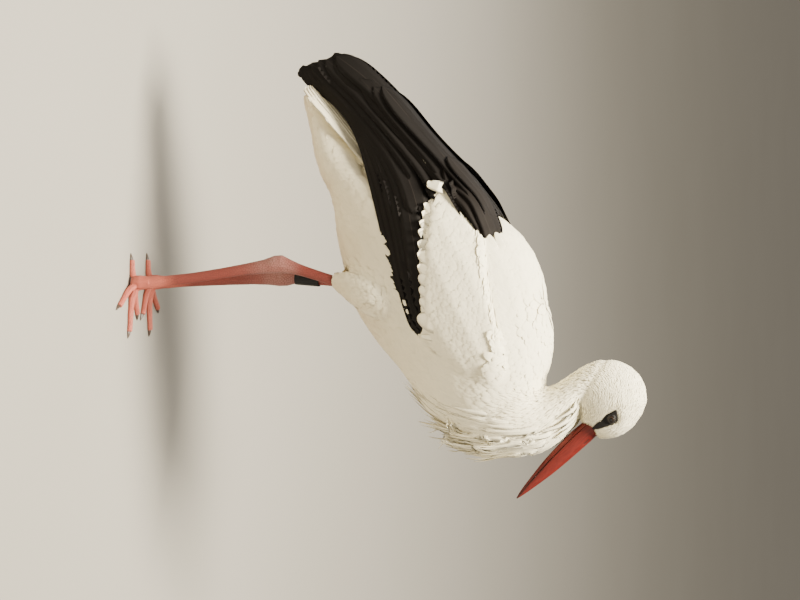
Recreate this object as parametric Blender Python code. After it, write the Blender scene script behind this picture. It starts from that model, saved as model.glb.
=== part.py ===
"""White stork, life size, standing with its neck drawn in and its bill pointing down and forward.

The frame is in metres, +Z up: the bird faces +X, its right side is -Y, and its toes rest on Z = 0.
The body is one lofted form, from the undertail to the bill, parted with thin cuts. Each section of it
is given by its point on the back, its point on the belly and its half width.
"""

import math

import bmesh
import bpy
import numpy as np
from mathutils import Vector

GAP = 0.0003  # clearance between neighbouring solids
OUTSIDE = 0.14  # a distance from the middle plane that lies outside the bird
RIGHT, LEFT = -1, 1  # sign of Y on each side of the bird

# Sections of the body: back x, back z, belly x, belly z, half width, how far above the middle it is widest
UNDERTAIL = (
    (-0.286, 0.299, -0.277, 0.277, 0.012, 0.0),
    (-0.240, 0.334, -0.222, 0.292, 0.030, 0.0),
    (-0.190, 0.374, -0.165, 0.304, 0.044, 0.0),
)
TRUNK = (
    (-0.154, 0.428, -0.112, 0.329, 0.058, 0.05),
    (-0.118, 0.528, -0.060, 0.334, 0.071, 0.10),
    (-0.080, 0.604, -0.005, 0.346, 0.082, 0.12),
    (-0.035, 0.6455, 0.050, 0.361, 0.088, 0.12),
    (0.020, 0.6665, 0.104, 0.396, 0.090, 0.12),
    (0.075, 0.677, 0.160, 0.445, 0.087, 0.10),
    (0.120, 0.677, 0.220, 0.487, 0.080, 0.08),
)
BREAST = (
    (0.152, 0.670, 0.264, 0.548, 0.069, 0.05),
    (0.170, 0.664, 0.280, 0.609, 0.058, 0.0),
    (0.1755, 0.671, 0.279, 0.658, 0.047, 0.0),
)
NECK = (
    (0.169, 0.687, 0.2595, 0.692, 0.040, 0.0),
    (0.154, 0.709, 0.239, 0.7085, 0.0345, 0.0),
    (0.139, 0.734, 0.217, 0.7165, 0.0315, 0.0),
)
HEAD = (
    (0.1326, 0.764, 0.2095, 0.7195, 0.0320, 0.0),
    (0.1415, 0.795, 0.2120, 0.7205, 0.0340, 0.0),
    (0.164, 0.8175, 0.2150, 0.7205, 0.0345, 0.0),
    (0.199, 0.8235, 0.2190, 0.7200, 0.0325, 0.0),
    (0.2335, 0.8045, 0.2245, 0.7195, 0.0275, 0.0),
    (0.2505, 0.781, 0.2290, 0.7195, 0.0215, 0.0),
    (0.2550, 0.759, 0.2315, 0.7200, 0.0160, 0.0),
    (0.2525, 0.746, 0.2325, 0.7205, 0.0130, 0.0),
)
# The edge of the feathers round the bill's base from the side, as x, z, from the forehead to the chin
FACE_EDGE = (
    (0.275, 0.7460), (0.2445, 0.7460), (0.2370, 0.7435), (0.2335, 0.7385), (0.2325, 0.7310),
    (0.2300, 0.7245), (0.2290, 0.7100), (0.275, 0.7100),
)
BODY = UNDERTAIL + TRUNK + BREAST + NECK + HEAD
TRUNK_END = float(len(UNDERTAIL + TRUNK))  # the cut between trunk and neck
NECK_END = float(len(UNDERTAIL + TRUNK + BREAST + NECK))  # the cut between neck and head
BODY_SIDES = 22
TRUNK_RINGS, NECK_RINGS, HEAD_RINGS = 19, 13, 13

# Sections of the form that the two folded wings make together, in the same columns
WINGS = (
    (-0.3575, 0.3200, -0.319, 0.238, 0.008, 0.1),
    (-0.343, 0.364, -0.300, 0.262, 0.018, 0.1),
    (-0.309, 0.407, -0.262, 0.312, 0.029, 0.0),
    (-0.268, 0.449, -0.213, 0.342, 0.041, -0.05),
    (-0.226, 0.477, -0.163, 0.358, 0.054, -0.1),
    (-0.181, 0.524, -0.108, 0.368, 0.070, -0.1),
    (-0.135, 0.572, -0.054, 0.374, 0.085, 0.0),
    (-0.086, 0.604, 0.000, 0.380, 0.095, 0.05),
    (-0.033, 0.643, 0.055, 0.390, 0.101, 0.08),
    (0.022, 0.6665, 0.105, 0.410, 0.102, 0.1),
    (0.075, 0.6785, 0.152, 0.455, 0.098, 0.1),
    (0.118, 0.676, 0.195, 0.500, 0.088, 0.08),
    (0.146, 0.668, 0.226, 0.545, 0.0755, 0.05),
    (0.160, 0.655, 0.240, 0.580, 0.0640, 0.0),
)
WING_SIDES, WING_RINGS = 20, 17
QUILL_INSET = 0.003  # the flight feathers lie this much deeper than the coverts over them
WING_GAP = 2 * GAP  # clearance between one group of wing feathers and the next

# Outlines of the wing's feather groups from the side, as x, z
SCALLOPS_FROM, SCALLOPS_TO, SCALLOP_COUNT, SCALLOP_DEPTH = (-0.129, 0.507), (0.084, 0.494), 11, 0.006
COVERTS_TOP = (
    (0.193, 0.592), (0.176, 0.612), (0.145, 0.622), (0.100, 0.614), (0.050, 0.601), (0.000, 0.592),
    (-0.048, 0.587), (-0.079, 0.5635), (-0.105, 0.545), (-0.1427, 0.5355), (-0.1395, 0.503),
)
COVERTS_REAR = COVERTS_TOP[-5:-1]  # the part of that edge with the tertials above it
COVERTS_FRONT = ((0.092, 0.488), (0.104, 0.4805), (0.134, 0.512), (0.164, 0.543), (0.184, 0.565))
TERTIALS_FRONT = (
    (-0.090, 0.640), (-0.084, 0.618), (-0.078, 0.609), (-0.0586, 0.621), (-0.0602, 0.607),
    (-0.0542, 0.6024), (-0.0572, 0.5931), (-0.048, 0.5876),
)
TERTIALS_RIDGE = ((-0.372, 0.310), (-0.370, 0.400), (-0.260, 0.520), (-0.160, 0.600))  # clear of the back
QUILL_DIVIDE = ((-0.160, 0.520), (-0.205, 0.470), (-0.265, 0.415), (-0.315, 0.370), (-0.345, 0.328))
QUILL_TIPS = (
    (-0.3365, 0.311), (-0.3370, 0.291), (-0.3300, 0.288), (-0.3325, 0.275), (-0.3280, 0.260),
    (-0.3200, 0.250), (-0.3090, 0.259), (-0.3010, 0.270), (-0.3020, 0.287),
)
QUILL_LOWER_EDGE = (
    (-0.2887, 0.307), (-0.2729, 0.329), (-0.2571, 0.346), (-0.2415, 0.357), (-0.2214, 0.370),
    (-0.1874, 0.384), (-0.1413, 0.397), (-0.0952, 0.4165), (-0.0338, 0.437), (0.009, 0.447),
    (0.0457, 0.4505), (0.0701, 0.4616), (0.0838, 0.4774), (0.0914, 0.4875),
)

# Tail: sections along its centre line: x, z, half width, half thickness, droop of its edges
TAIL = (
    (-0.118, 0.432, 0.030, 0.0080, 0.003),
    (-0.160, 0.405, 0.036, 0.0075, 0.005),
    (-0.210, 0.369, 0.041, 0.0060, 0.008),
    (-0.262, 0.329, 0.044, 0.0042, 0.010),
    (-0.293, 0.303, 0.040, 0.0030, 0.009),
    (-0.304, 0.2945, 0.030, 0.0022, 0.006),
)
TAIL_ACROSS, TAIL_RINGS = 8, 7
TAIL_SQUARENESS = 0.96  # how full a section stays towards its edges

# Legs, as x, z, half width fore and aft, half width across. It stands on both, the right heel bent more.
THIGH = (
    (0.0500, 0.450, 0.042, 0.026),
    (0.0360, 0.405, 0.038, 0.027),
    (0.0245, 0.372, 0.028, 0.022),
    (0.0165, 0.350, 0.0175, 0.0155),
    (0.0125, 0.337, 0.0115, 0.0105),
)
THIGH_OUT = (0.050, 0.046, 0.040, 0.037, 0.036)  # distance from the middle plane at each row of THIGH
LEG_OUT = 0.0355
RIGHT_TIBIA = (
    (0.0122, 0.3362, 0.0082, 0.0074),
    (0.0045, 0.312, 0.0080, 0.0070),
    (-0.0040, 0.285, 0.0088, 0.0074),
    (-0.0095, 0.268, 0.0108, 0.0090),
)
RIGHT_TARSUS = (
    (-0.0095, 0.268, 0.0108, 0.0090),
    (-0.0135, 0.254, 0.0140, 0.0112),
    (-0.0130, 0.241, 0.0137, 0.0112),
    (-0.0098, 0.224, 0.0108, 0.0088),
    (-0.0060, 0.195, 0.0087, 0.0068),
    (0.0012, 0.150, 0.0080, 0.0062),
    (0.0078, 0.105, 0.0078, 0.0062),
    (0.0128, 0.060, 0.0082, 0.0068),
    (0.0152, 0.036, 0.0100, 0.0085),
)
LEFT_TIBIA = (
    (0.0145, 0.3362, 0.0082, 0.0074),
    (0.0125, 0.315, 0.0080, 0.0070),
    (0.0098, 0.285, 0.0084, 0.0072),
    (0.0072, 0.254, 0.0092, 0.0082),
)
LEFT_TARSUS = (
    (0.0072, 0.254, 0.0092, 0.0082),
    (0.0070, 0.240, 0.0128, 0.0108),
    (0.0073, 0.227, 0.0130, 0.0110),
    (0.0082, 0.211, 0.0102, 0.0086),
    (0.0092, 0.184, 0.0083, 0.0067),
    (0.0105, 0.145, 0.0078, 0.0062),
    (0.0120, 0.100, 0.0078, 0.0062),
    (0.0132, 0.060, 0.0082, 0.0068),
    (0.0138, 0.036, 0.0100, 0.0085),
)
LEG_SIDES = 10
RING_HEIGHT, RING_WALL, RING_PLAY, RING_SIDES = 0.040, 0.0014, 0.0006, 20

# Toes of a foot: number, length to the claw, degrees out from straight ahead, half width at the root, joints
RIGHT_TOES = (
    (1, 0.036, 183, 0.0047, 1),
    (2, 0.056, -27, 0.0050, 2),
    (3, 0.078, 7, 0.0056, 3),
    (4, 0.064, 55, 0.0052, 4),
)
LEFT_TOES = (
    (1, 0.036, 177, 0.0047, 1),
    (2, 0.056, -23, 0.0050, 2),
    (3, 0.078, 8, 0.0056, 3),
    (4, 0.064, 48, 0.0052, 4),
)
PALM = ((0.0040, 0.0070), (0.0090, 0.0110), (0.0180, 0.0118), (0.0270, 0.0102), (0.0350, 0.0096))  # z, radius
PALM_SIDES = 8
TOE_ROOT_HEIGHT, TOE_TIP_HEIGHT, TOE_ROOT_LIFT = 0.0125, 0.0072, 0.009
TOE_RINGS, TOE_TAPER, TOE_KNUCKLE = 7, 0.28, 0.10
TOE_SHAPE = ((-1, 0.4), (-0.5, 0.95), (0.5, 0.95), (1, 0.4), (0.7, 0), (-0.7, 0))  # share of width, of height
CLAW_LENGTH, CLAW_HEIGHT, CLAW_RINGS, CLAW_TIP = 0.011, 0.0052, 4, 0.0005
CLAW_WIDTH = 0.66  # share of the toe's width
CLAW_SHAPE = ((-1, 0.25), (0, 1.0), (1, 0.25), (0.6, 0), (-0.6, 0))

# Bill: share of its length from the face, how far it reaches above and below its axis, half width, mouth line
BILL_BASE, BILL_TIP = (0.2424, 0.7338), (0.3484, 0.6213)
BILL = (
    (-0.12, 0.0120, -0.0120, 0.0130, -0.0070),
    (0.0, 0.0145, -0.0155, 0.0128, -0.0075),
    (0.12, 0.0142, -0.0170, 0.0116, -0.0080),
    (0.30, 0.0132, -0.0163, 0.0097, -0.0078),
    (0.50, 0.0116, -0.0144, 0.0076, -0.0068),
    (0.65, 0.0092, -0.0114, 0.0058, -0.0051),
    (0.80, 0.0062, -0.0078, 0.0040, -0.0031),
    (0.92, 0.0034, -0.0045, 0.0024, -0.0014),
    (1.0, 0.0007, -0.0007, 0.0006, 0.0),
)
BILL_SIDES, BILL_RINGS = 14, 13
BILL_ROUNDNESS = 0.85  # below 1 fills the section out
LOWER_WIDTH = 0.93  # width of the lower half as a share of the upper's

EYE_RADIUS = 0.0080
EYE_CENTRE = (0.2225, 0.0232, 0.7735)  # x, distance from the middle plane, z

EYE_SEGMENTS, EYE_RINGS = 12, 7

# Breast plumes: section at the root, section at the tip, degrees the fan spreads to each side, how many, half
# width, and how far the tip stands off
PLUME_ROWS = (
    (12.3, 10.9, 58, 5, 0.0095, 0.018),
    (11.6, 9.8, 50, 5, 0.0105, 0.015),
    (10.9, 8.7, 38, 4, 0.0110, 0.012),
)
PLUME_RINGS, PLUME_THICKNESS, PLUME_DEPTH, PLUME_UNEVEN = 5, 0.0032, 0.002, 0.14
PLUME_SHAPE = ((-1, 0), (0, 1), (1, 0), (0, -1))


def clear_scene():
    """Removes whatever the scene opens with."""
    for thing in list(bpy.data.objects):
        bpy.data.objects.remove(thing, do_unlink=True)


def finish_of(name, colour, roughness, metallic=0.0):
    """A material with a plain Principled BSDF."""
    material = bpy.data.materials.new(name)
    material.use_nodes = True
    shader = material.node_tree.nodes["Principled BSDF"]
    shader.inputs["Base Color"].default_value = (*colour, 1.0)
    shader.inputs["Roughness"].default_value = roughness
    shader.inputs["Metallic"].default_value = metallic
    material.diffuse_color = (*colour, 1.0)
    return material


def smooth(rows, t):
    """The row at t of a table whose rows are one unit apart, on a Catmull-Rom curve through them."""
    rows = np.asarray(rows, float)
    last = len(rows) - 1
    i = int(min(max(t, 0), last - 1e-9))
    f = t - i
    here, after = rows[i], rows[i + 1]
    before = rows[i - 1] if i > 0 else 2 * here - after
    beyond = rows[i + 2] if i + 2 <= last else 2 * after - here
    bend = 2 * before - 5 * here + 4 * after - beyond
    twist = 3 * here - before - 3 * after + beyond
    return 0.5 * (2 * here + (after - before) * f + bend * f**2 + twist * f**3)


def body_row(table, t):
    """The section at t. About the throat the sections turn as on a hinge: belly points run straight."""
    row = smooth(table, t)
    if table is BODY and abs(t - NECK_END) < 1:
        i = int(min(math.floor(t), len(table) - 2))
        row[2:4] = np.array(table[i][2:4]) * (1 - t + i) + np.array(table[i + 1][2:4]) * (t - i)
    return row


def section(row, sides, grow=0.0, shift=0.0):
    """The points of a body section, starting on the back and going down the right side first.
    shift moves it along its own normal, towards the head."""
    back, belly = np.array([row[0], 0, row[1]]), np.array([row[2], 0, row[3]])
    middle, up = (back + belly) / 2, (back - belly) / 2
    tall = np.linalg.norm(up)
    normal = np.cross(np.array([0, 1, 0]), up / tall)
    angles = np.arange(sides) * 2 * math.pi / sides
    height = np.cos(angles) + row[5] * np.sin(angles) ** 2
    points = middle + np.outer(height, up * (tall + grow) / tall)
    points[:, 1] = -np.sin(angles) * (row[4] + grow)
    return points + normal * shift


def placed(name, made, material):
    """Puts a finished form into the scene. One with no material is only a helper, and is hidden."""
    mesh = bpy.data.meshes.new(name)
    made.to_mesh(mesh)
    made.free()
    mesh.shade_smooth()
    mesh.set_sharp_from_angle(angle=math.radians(50))
    thing = bpy.data.objects.new(name, mesh)
    bpy.context.scene.collection.objects.link(thing)
    if material:
        mesh.materials.append(material)
    else:
        thing.hide_render = True
        thing.display_type = "WIRE"
    return thing


def solid(name, rings, material=None):
    """One closed body lofted through rings of points, with flat ends."""
    made = bmesh.new()
    loops = [[made.verts.new(point) for point in ring] for ring in rings]
    for near, far in zip(loops, loops[1:]):
        for i in range(len(near)):
            j = (i + 1) % len(near)
            made.faces.new((near[i], near[j], far[j]))
            made.faces.new((near[i], far[j], far[i]))
    made.faces.new(loops[0])
    made.faces.new(loops[-1])
    bmesh.ops.recalc_face_normals(made, faces=made.faces)
    return placed(name, made, material)


def combine(thing, other, operation):
    """Joins, cuts or trims thing by other."""
    step = thing.modifiers.new(f"{operation.lower()}_{other.name}", "BOOLEAN")
    step.operation = operation
    step.object = other
    step.solver = "EXACT"


def cut(thing, *cutters):
    """Takes each of the cutters away from thing."""
    for cutter in cutters:
        combine(thing, cutter, "DIFFERENCE")


def body_rings(start, end, count, grow=0.0, cut_start=True, cut_end=True, table=BODY, sides=BODY_SIDES):
    """Sections of the body from start to end, held half a gap back from the cuts."""
    rings = []
    for k, t in enumerate(np.linspace(start, end, count)):
        shift = GAP / 2 if k == 0 and cut_start else 0.0
        shift = -GAP / 2 if k == count - 1 and cut_end else shift
        rings.append(section(body_row(table, t), sides, grow, shift))
    return rings


def tube_rings(rows, out, side, per_row=2, sides=LEG_SIDES, grow=0.0):
    """Level rings of a leg. rows are x, z and two half widths; out is the distance from the middle plane."""
    outs = np.broadcast_to(out, len(rows))
    table = np.column_stack([np.asarray(rows, float), outs])
    angles = np.arange(sides) * 2 * math.pi / sides
    rings = []
    for t in np.linspace(0, len(rows) - 1, (len(rows) - 1) * per_row + 1):
        x, z, fore, across, away = smooth(table, t)
        ring = np.zeros((sides, 3))
        ring[:, 0] = x + (fore + grow) * np.cos(angles)
        ring[:, 1] = side * away + (across + grow) * np.sin(angles)
        ring[:, 2] = z
        rings.append(ring)
    return rings


def plume(number, root, tip, angle, half_width, lift):
    """A long pointed feather that lies down over the breast and stands off it at its tip."""
    shares = np.linspace(0, 1, PLUME_RINGS)
    line, outward = [], []
    for share in shares:
        ring = section(smooth(BODY, root + (tip - root) * share), 360)
        middle = ring.mean(axis=0)
        point = ring[int(round(angle)) % 360]
        away = (point - middle) / np.linalg.norm(point - middle)
        line.append(point + away * (lift * share**1.2 - PLUME_DEPTH * (1 - share)))
        outward.append(away)
    rings = []
    for k, share in enumerate(shares):
        ahead = line[min(k + 1, PLUME_RINGS - 1)] - line[max(k - 1, 0)]
        across = np.cross(ahead, outward[k])
        across /= np.linalg.norm(across)
        width = half_width * max(0.06, math.sin(math.pi * (0.30 + 0.68 * share)) ** 0.8)
        thick = PLUME_THICKNESS * (1 - 0.75 * share)
        rings.append([line[k] + across * width * a + outward[k] * thick * b for a, b in PLUME_SHAPE])
    return solid(f"plume_{number}", rings)


def make_neck(white, rooms):
    """The neck and the front of the breast in one, with the plumes that hang from it."""
    neck = solid("neck", body_rings(TRUNK_END, NECK_END, NECK_RINGS), white)
    number = 0
    for root, tip, spread, count, half_width, lift in PLUME_ROWS:
        for angle in np.linspace(180 - spread, 180 + spread, count):
            number += 1
            uneven = PLUME_UNEVEN * math.sin(7.0 * number)
            combine(neck, plume(number, root, tip + uneven, angle, half_width, lift), "UNION")
    cut(neck, *rooms)


def eye(name, side, grow=0.0, material=None):
    """An eyeball, or, with no material, the room that is cut for it."""
    made = bmesh.new()
    bmesh.ops.create_uvsphere(
        made, u_segments=EYE_SEGMENTS, v_segments=EYE_RINGS, radius=EYE_RADIUS + grow
    )
    x, out, z = EYE_CENTRE
    bmesh.ops.translate(made, verts=made.verts, vec=Vector((x, side * out, z)))
    return placed(name, made, material)


def bill_rings(upper, lower, grow=0.0):
    """Sections of the bill: its upper half above the mouth line, its lower half below it, or both in one."""
    base, tip = np.array([BILL_BASE[0], 0, BILL_BASE[1]]), np.array([BILL_TIP[0], 0, BILL_TIP[1]])
    along = (tip - base) / np.linalg.norm(tip - base)
    above = np.cross(along, np.array([0, 1.0, 0]))
    above *= math.copysign(1, above[2])
    length = np.linalg.norm(tip - base)
    half = BILL_SIDES // 2
    angles = np.linspace(0, math.pi, half + 1)
    swell = np.sin(angles) ** BILL_ROUNDNESS
    rings = []
    for t in np.linspace(0, len(BILL) - 1, BILL_RINGS):
        share, top, bottom, half_width, mouth = smooth(BILL, t)
        half_gap = 0 if upper and lower else GAP / 2 * max(0.15, 1 - share**4)
        over = mouth + half_gap + (top + grow - mouth - half_gap) * swell
        under = mouth - half_gap + (bottom - grow - mouth + half_gap) * swell
        upper_half = list(zip(over, np.cos(angles)))
        lower_half = list(zip(under, LOWER_WIDTH * np.cos(angles)))[::-1]
        if upper and lower:
            outline = upper_half + lower_half[1:-1]
        else:
            outline = upper_half if upper else lower_half
        centre = base + along * (share * length)
        width = half_width + grow
        rings.append([centre + above * h + np.array([0, w * width, 0]) for h, w in outline])
    return rings


def face_cutter(name, grow=0.0):
    """What cuts the head back to the edge of its feathers round the bill. grow widens it."""
    edge = np.array(FACE_EDGE)
    edge += grow * np.sign(edge - edge.mean(axis=0))
    return prism(name, edge, -OUTSIDE, OUTSIDE)


def make_face(white, red, rooms):
    """The head, and the two halves of the bill, which fill the notch that is cut for them in its front."""
    head = solid("head", body_rings(NECK_END, len(BODY) - 1, HEAD_RINGS), white)
    cut(head, face_cutter("face_cutter"), *rooms)
    head_room = solid("head_room", body_rings(NECK_END, len(BODY) - 1, HEAD_RINGS, GAP, False, False))
    cut(head_room, face_cutter("bill_place", -GAP))
    cut(solid("bill_upper", bill_rings(True, False), red), head_room)
    cut(solid("bill_lower", bill_rings(False, True), red), head_room)


def tail_rings(grow=0.0):
    """Sections across the closed tail, each a thin arch."""
    rings = []
    across = np.linspace(-1, 1, TAIL_ACROSS)
    swell = np.sqrt(1 - (TAIL_SQUARENESS * across) ** 2)
    for t in np.linspace(0, len(TAIL) - 1, TAIL_RINGS):
        x, z, half_width, half_thick, droop = smooth(TAIL, t)
        middle = z - droop * across**2
        reach = half_thick * swell + grow
        outs = across * (half_width + grow)
        top = [(x, y, height) for y, height in zip(outs, middle + reach)]
        low = [(x, y, height) for y, height in zip(outs, middle - reach)]
        rings.append(top + low[::-1])
    rings[0] = [(x + grow, y, z) for x, y, z in rings[0]]
    rings[-1] = [(x - grow, y, z) for x, y, z in rings[-1]]
    return rings


def prism(name, outline, near, far):
    """The outline, given as x and z, drawn out sideways from one distance off the middle plane to another."""
    return solid(name, [[(x, near, z) for x, z in outline], [(x, far, z) for x, z in outline]])


def scallops(drop=0.0):
    """The lower edge of the white coverts, from the tail end forward, one rounded tip after another."""
    (x0, z0), (x1, z1) = SCALLOPS_FROM, SCALLOPS_TO
    points = []
    for k in range(SCALLOP_COUNT):
        for part in (0.0, 0.3, 0.7):
            share = (k + part) / SCALLOP_COUNT
            depth = SCALLOP_DEPTH * math.sin(math.pi * part) ** 0.6
            points.append((x0 + (x1 - x0) * share, z0 + (z1 - z0) * share - depth - drop))
    return points + [(x1, z1 - drop)]


def shifted(outline, dx, dz):
    """The outline moved by dx and dz."""
    return [(x + dx, z + dz) for x, z in outline]


def make_wing(side, name, white, black, rooms):
    """A folded wing in three groups: coverts, tertials with the long scapulars, and flight feathers."""
    coverts_outline = [*COVERTS_TOP, *scallops(), *COVERTS_FRONT]
    tertials_outline = [
        *TERTIALS_FRONT,
        *shifted(COVERTS_REAR, 0, WING_GAP),
        *shifted(QUILL_DIVIDE, 0, WING_GAP),
        *TERTIALS_RIDGE,
    ]
    quills_outline = [
        *QUILL_DIVIDE[::-1],
        *shifted(COVERTS_TOP[-2:], -WING_GAP, -WING_GAP / 2),
        *scallops(WING_GAP),
        *QUILL_LOWER_EDGE[::-1],
        *QUILL_TIPS[::-1],
    ]
    groups = (
        ("coverts", coverts_outline, 0.0, white),
        ("tertials", tertials_outline, 0.0, black),
        ("quills", quills_outline, -QUILL_INSET, black),
    )
    for group, outline, grow, material in groups:
        rings = body_rings(0, len(WINGS) - 1, WING_RINGS, grow, False, False, WINGS, WING_SIDES)
        wing = solid(f"wing_{name}_{group}", rings, material)
        outside = prism(f"outline_{name}_{group}", outline, side * GAP / 2, side * OUTSIDE)
        combine(wing, outside, "INTERSECT")
        cut(wing, *rooms)


def swept(base, across, shape, width, height, lift=0.0):
    """A ring with this shape, standing across a toe's path at base."""
    return [base + across * width * a + Vector((0, 0, lift + height * b)) for a, b in shape]


def make_foot(side, name, toes, ankle_x, skin, horn):
    """Four toes from one joint, each flat underneath and swelling at its joints, and a claw on each."""
    root = Vector((ankle_x, side * LEG_OUT, 0))
    palm = []
    for z, radius in PALM:
        turns = np.arange(PALM_SIDES) * 2 * math.pi / PALM_SIDES
        palm.append([(root.x + radius * math.cos(a), root.y + radius * math.sin(a), z - GAP) for a in turns])
    foot = solid(f"foot_{name}", palm, skin)
    for number, length, degrees, half, joints in toes:
        heading = math.radians(degrees)
        ahead = Vector((math.cos(heading), side * math.sin(heading), 0))
        across = Vector((-ahead.y, ahead.x, 0))
        toe = []
        for share in np.linspace(0, 1, TOE_RINGS):
            knuckle = 1 + TOE_KNUCKLE * math.cos(2 * math.pi * joints * share)
            width = half * (1 - TOE_TAPER * share) * knuckle
            height = TOE_TIP_HEIGHT + (TOE_ROOT_HEIGHT - TOE_TIP_HEIGHT) * (1 - share) ** 2
            lift = TOE_ROOT_LIFT * max(0.0, 1 - 2.6 * share) ** 1.4
            toe.append(swept(root + ahead * length * share, across, TOE_SHAPE, width, height, lift))
        combine(foot, solid(f"toe_{name}_{number}", toe), "UNION")
        claw = []
        for share in np.linspace(0, 1, CLAW_RINGS):
            width = half * CLAW_WIDTH * (1 - share) ** 0.6 + CLAW_TIP
            height = CLAW_HEIGHT * (1 - 0.8 * share**1.5)
            base = root + ahead * (length + GAP + CLAW_LENGTH * share)
            claw.append(swept(base, across, CLAW_SHAPE, width, height))
        solid(f"claw_{name}_{number}", claw, horn)


def make_leg(side, name, tibia, tarsus, toes, white, skin, horn, trunk_room):
    """Feathered thigh, bare tibia, and tarsus with the heel at its top, one on the other, and the foot."""
    thigh = solid(f"thigh_{name}", tube_rings(THIGH, THIGH_OUT, side), white)
    cut(thigh, trunk_room)
    shin = tube_rings(tibia, LEG_OUT, side)
    shin[-1][:, 2] += GAP
    solid(f"tibia_{name}", shin, skin)
    shank = tube_rings(tarsus, LEG_OUT, side, per_row=1)
    shank[-1][:, 2] += GAP
    solid(f"tarsus_{name}", shank, skin)
    make_foot(side, name, toes, tarsus[-1][0], skin, horn)


def make_ring(side, tibia, plastic):
    """The identification ring: a plain tube that sits loosely on the shin, just above the heel."""
    low, high = np.array(tibia[-1]), np.array(tibia[-2])
    bottom = np.array([low[0], side * LEG_OUT, low[1] + 2 * GAP])
    axis = np.array([high[0] - low[0], 0, high[1] - low[1]])
    axis /= np.linalg.norm(axis)
    ahead = np.array([axis[2], 0, -axis[0]])
    inner = max(low[2], low[3]) + RING_PLAY
    profile = ((inner, 0), (inner + RING_WALL, 0), (inner + RING_WALL, RING_HEIGHT), (inner, RING_HEIGHT))
    made = bmesh.new()
    loops = []
    for angle in np.arange(RING_SIDES) * 2 * math.pi / RING_SIDES:
        out = ahead * math.cos(angle) + np.array([0, 1, 0]) * math.sin(angle)
        loops.append([made.verts.new(bottom + out * r + axis * h) for r, h in profile])
    for near, far in zip(loops, loops[1:] + loops[:1]):
        for i in range(len(profile)):
            j = (i + 1) % len(profile)
            made.faces.new((near[i], near[j], far[j], far[i]))
    bmesh.ops.recalc_face_normals(made, faces=made.faces)
    placed("leg_ring", made, plastic)


def main():
    clear_scene()
    white = finish_of("white_plumage", (0.80, 0.77, 0.68), 0.85)
    black = finish_of("black_plumage", (0.022, 0.020, 0.021), 0.6)
    red = finish_of("bill_red", (0.36, 0.045, 0.025), 0.45)
    skin = finish_of("leg_skin", (0.47, 0.12, 0.08), 0.65)
    horn = finish_of("claw_horn", (0.10, 0.06, 0.045), 0.5)
    dark = finish_of("eye_dark", (0.02, 0.014, 0.012), 0.15)
    plastic = finish_of("ring_plastic", (0.012, 0.012, 0.013), 0.4)

    tail_room = solid("tail_room", tail_rings(GAP))
    trunk_room = solid("trunk_room", body_rings(0, TRUNK_END, TRUNK_RINGS, GAP, False, False))
    neck_room = solid("neck_room", body_rings(TRUNK_END, NECK_END, NECK_RINGS, GAP, False, False))
    bill_room = solid("bill_room", bill_rings(True, True, GAP))
    eye_rooms = [eye("eye_room_right", RIGHT, GAP), eye("eye_room_left", LEFT, GAP)]

    solid("tail", tail_rings(), white)
    cut(solid("trunk", body_rings(0, TRUNK_END, TRUNK_RINGS, cut_start=False), white), tail_room)
    make_neck(white, (trunk_room, bill_room))
    make_face(white, red, eye_rooms + [neck_room])
    eye("eye_right", RIGHT, material=dark)
    eye("eye_left", LEFT, material=dark)
    rooms = (trunk_room, neck_room, tail_room)
    make_wing(RIGHT, "right", white, black, rooms)
    make_wing(LEFT, "left", white, black, rooms)
    make_leg(RIGHT, "right", RIGHT_TIBIA, RIGHT_TARSUS, RIGHT_TOES, white, skin, horn, trunk_room)
    make_leg(LEFT, "left", LEFT_TIBIA, LEFT_TARSUS, LEFT_TOES, white, skin, horn, trunk_room)
    make_ring(LEFT, LEFT_TIBIA, plastic)


main()
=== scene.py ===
"""A white stork's looks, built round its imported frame: skin, feathers, bill, eyes, legs, claws and ring.

The bird faces +X with its right side to -Y. Each contour feather is a small vane laid on the skin by Geometry
Nodes, and each plume and flight feather is swept along a guide that runs over the surface of the frame.
"""

import math

import bmesh
import bpy
import numpy as np
from bpy.props import FloatProperty, FloatVectorProperty, IntProperty, PointerProperty
from mathutils import Matrix, Vector
from mathutils.bvhtree import BVHTree
from mathutils.kdtree import KDTree


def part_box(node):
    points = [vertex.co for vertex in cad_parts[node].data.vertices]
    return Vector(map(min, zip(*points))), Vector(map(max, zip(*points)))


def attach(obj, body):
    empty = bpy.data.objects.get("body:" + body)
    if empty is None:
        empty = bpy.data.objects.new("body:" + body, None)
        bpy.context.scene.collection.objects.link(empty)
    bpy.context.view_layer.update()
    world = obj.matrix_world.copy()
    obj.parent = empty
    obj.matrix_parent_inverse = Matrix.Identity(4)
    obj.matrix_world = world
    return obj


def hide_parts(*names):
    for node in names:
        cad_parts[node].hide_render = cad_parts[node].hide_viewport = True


bl_info = {
    "name": "White Stork",
    "version": (1, 0, 0),
    "blender": (4, 5, 0),
    "location": "View3D > Sidebar > Stork",
    "description": "Dresses the frame of a standing white stork in skin, feathers, bill, eyes, legs and ring",
    "category": "Object",
}

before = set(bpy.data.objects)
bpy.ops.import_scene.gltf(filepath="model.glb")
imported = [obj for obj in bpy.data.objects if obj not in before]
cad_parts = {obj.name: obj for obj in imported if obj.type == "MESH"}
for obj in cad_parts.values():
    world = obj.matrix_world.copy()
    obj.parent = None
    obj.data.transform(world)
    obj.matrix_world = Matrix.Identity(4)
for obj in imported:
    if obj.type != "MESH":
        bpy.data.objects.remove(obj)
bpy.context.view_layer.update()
SIDES = (("right", -1), ("left", 1))
BILL = ("bill_upper", "bill_lower")
ACROSS, UP = np.array([0.0, 1.0, 0.0]), np.array([0.0, 0.0, 1.0])


# ---------------------------------------------------------------- measuring the frame


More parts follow.
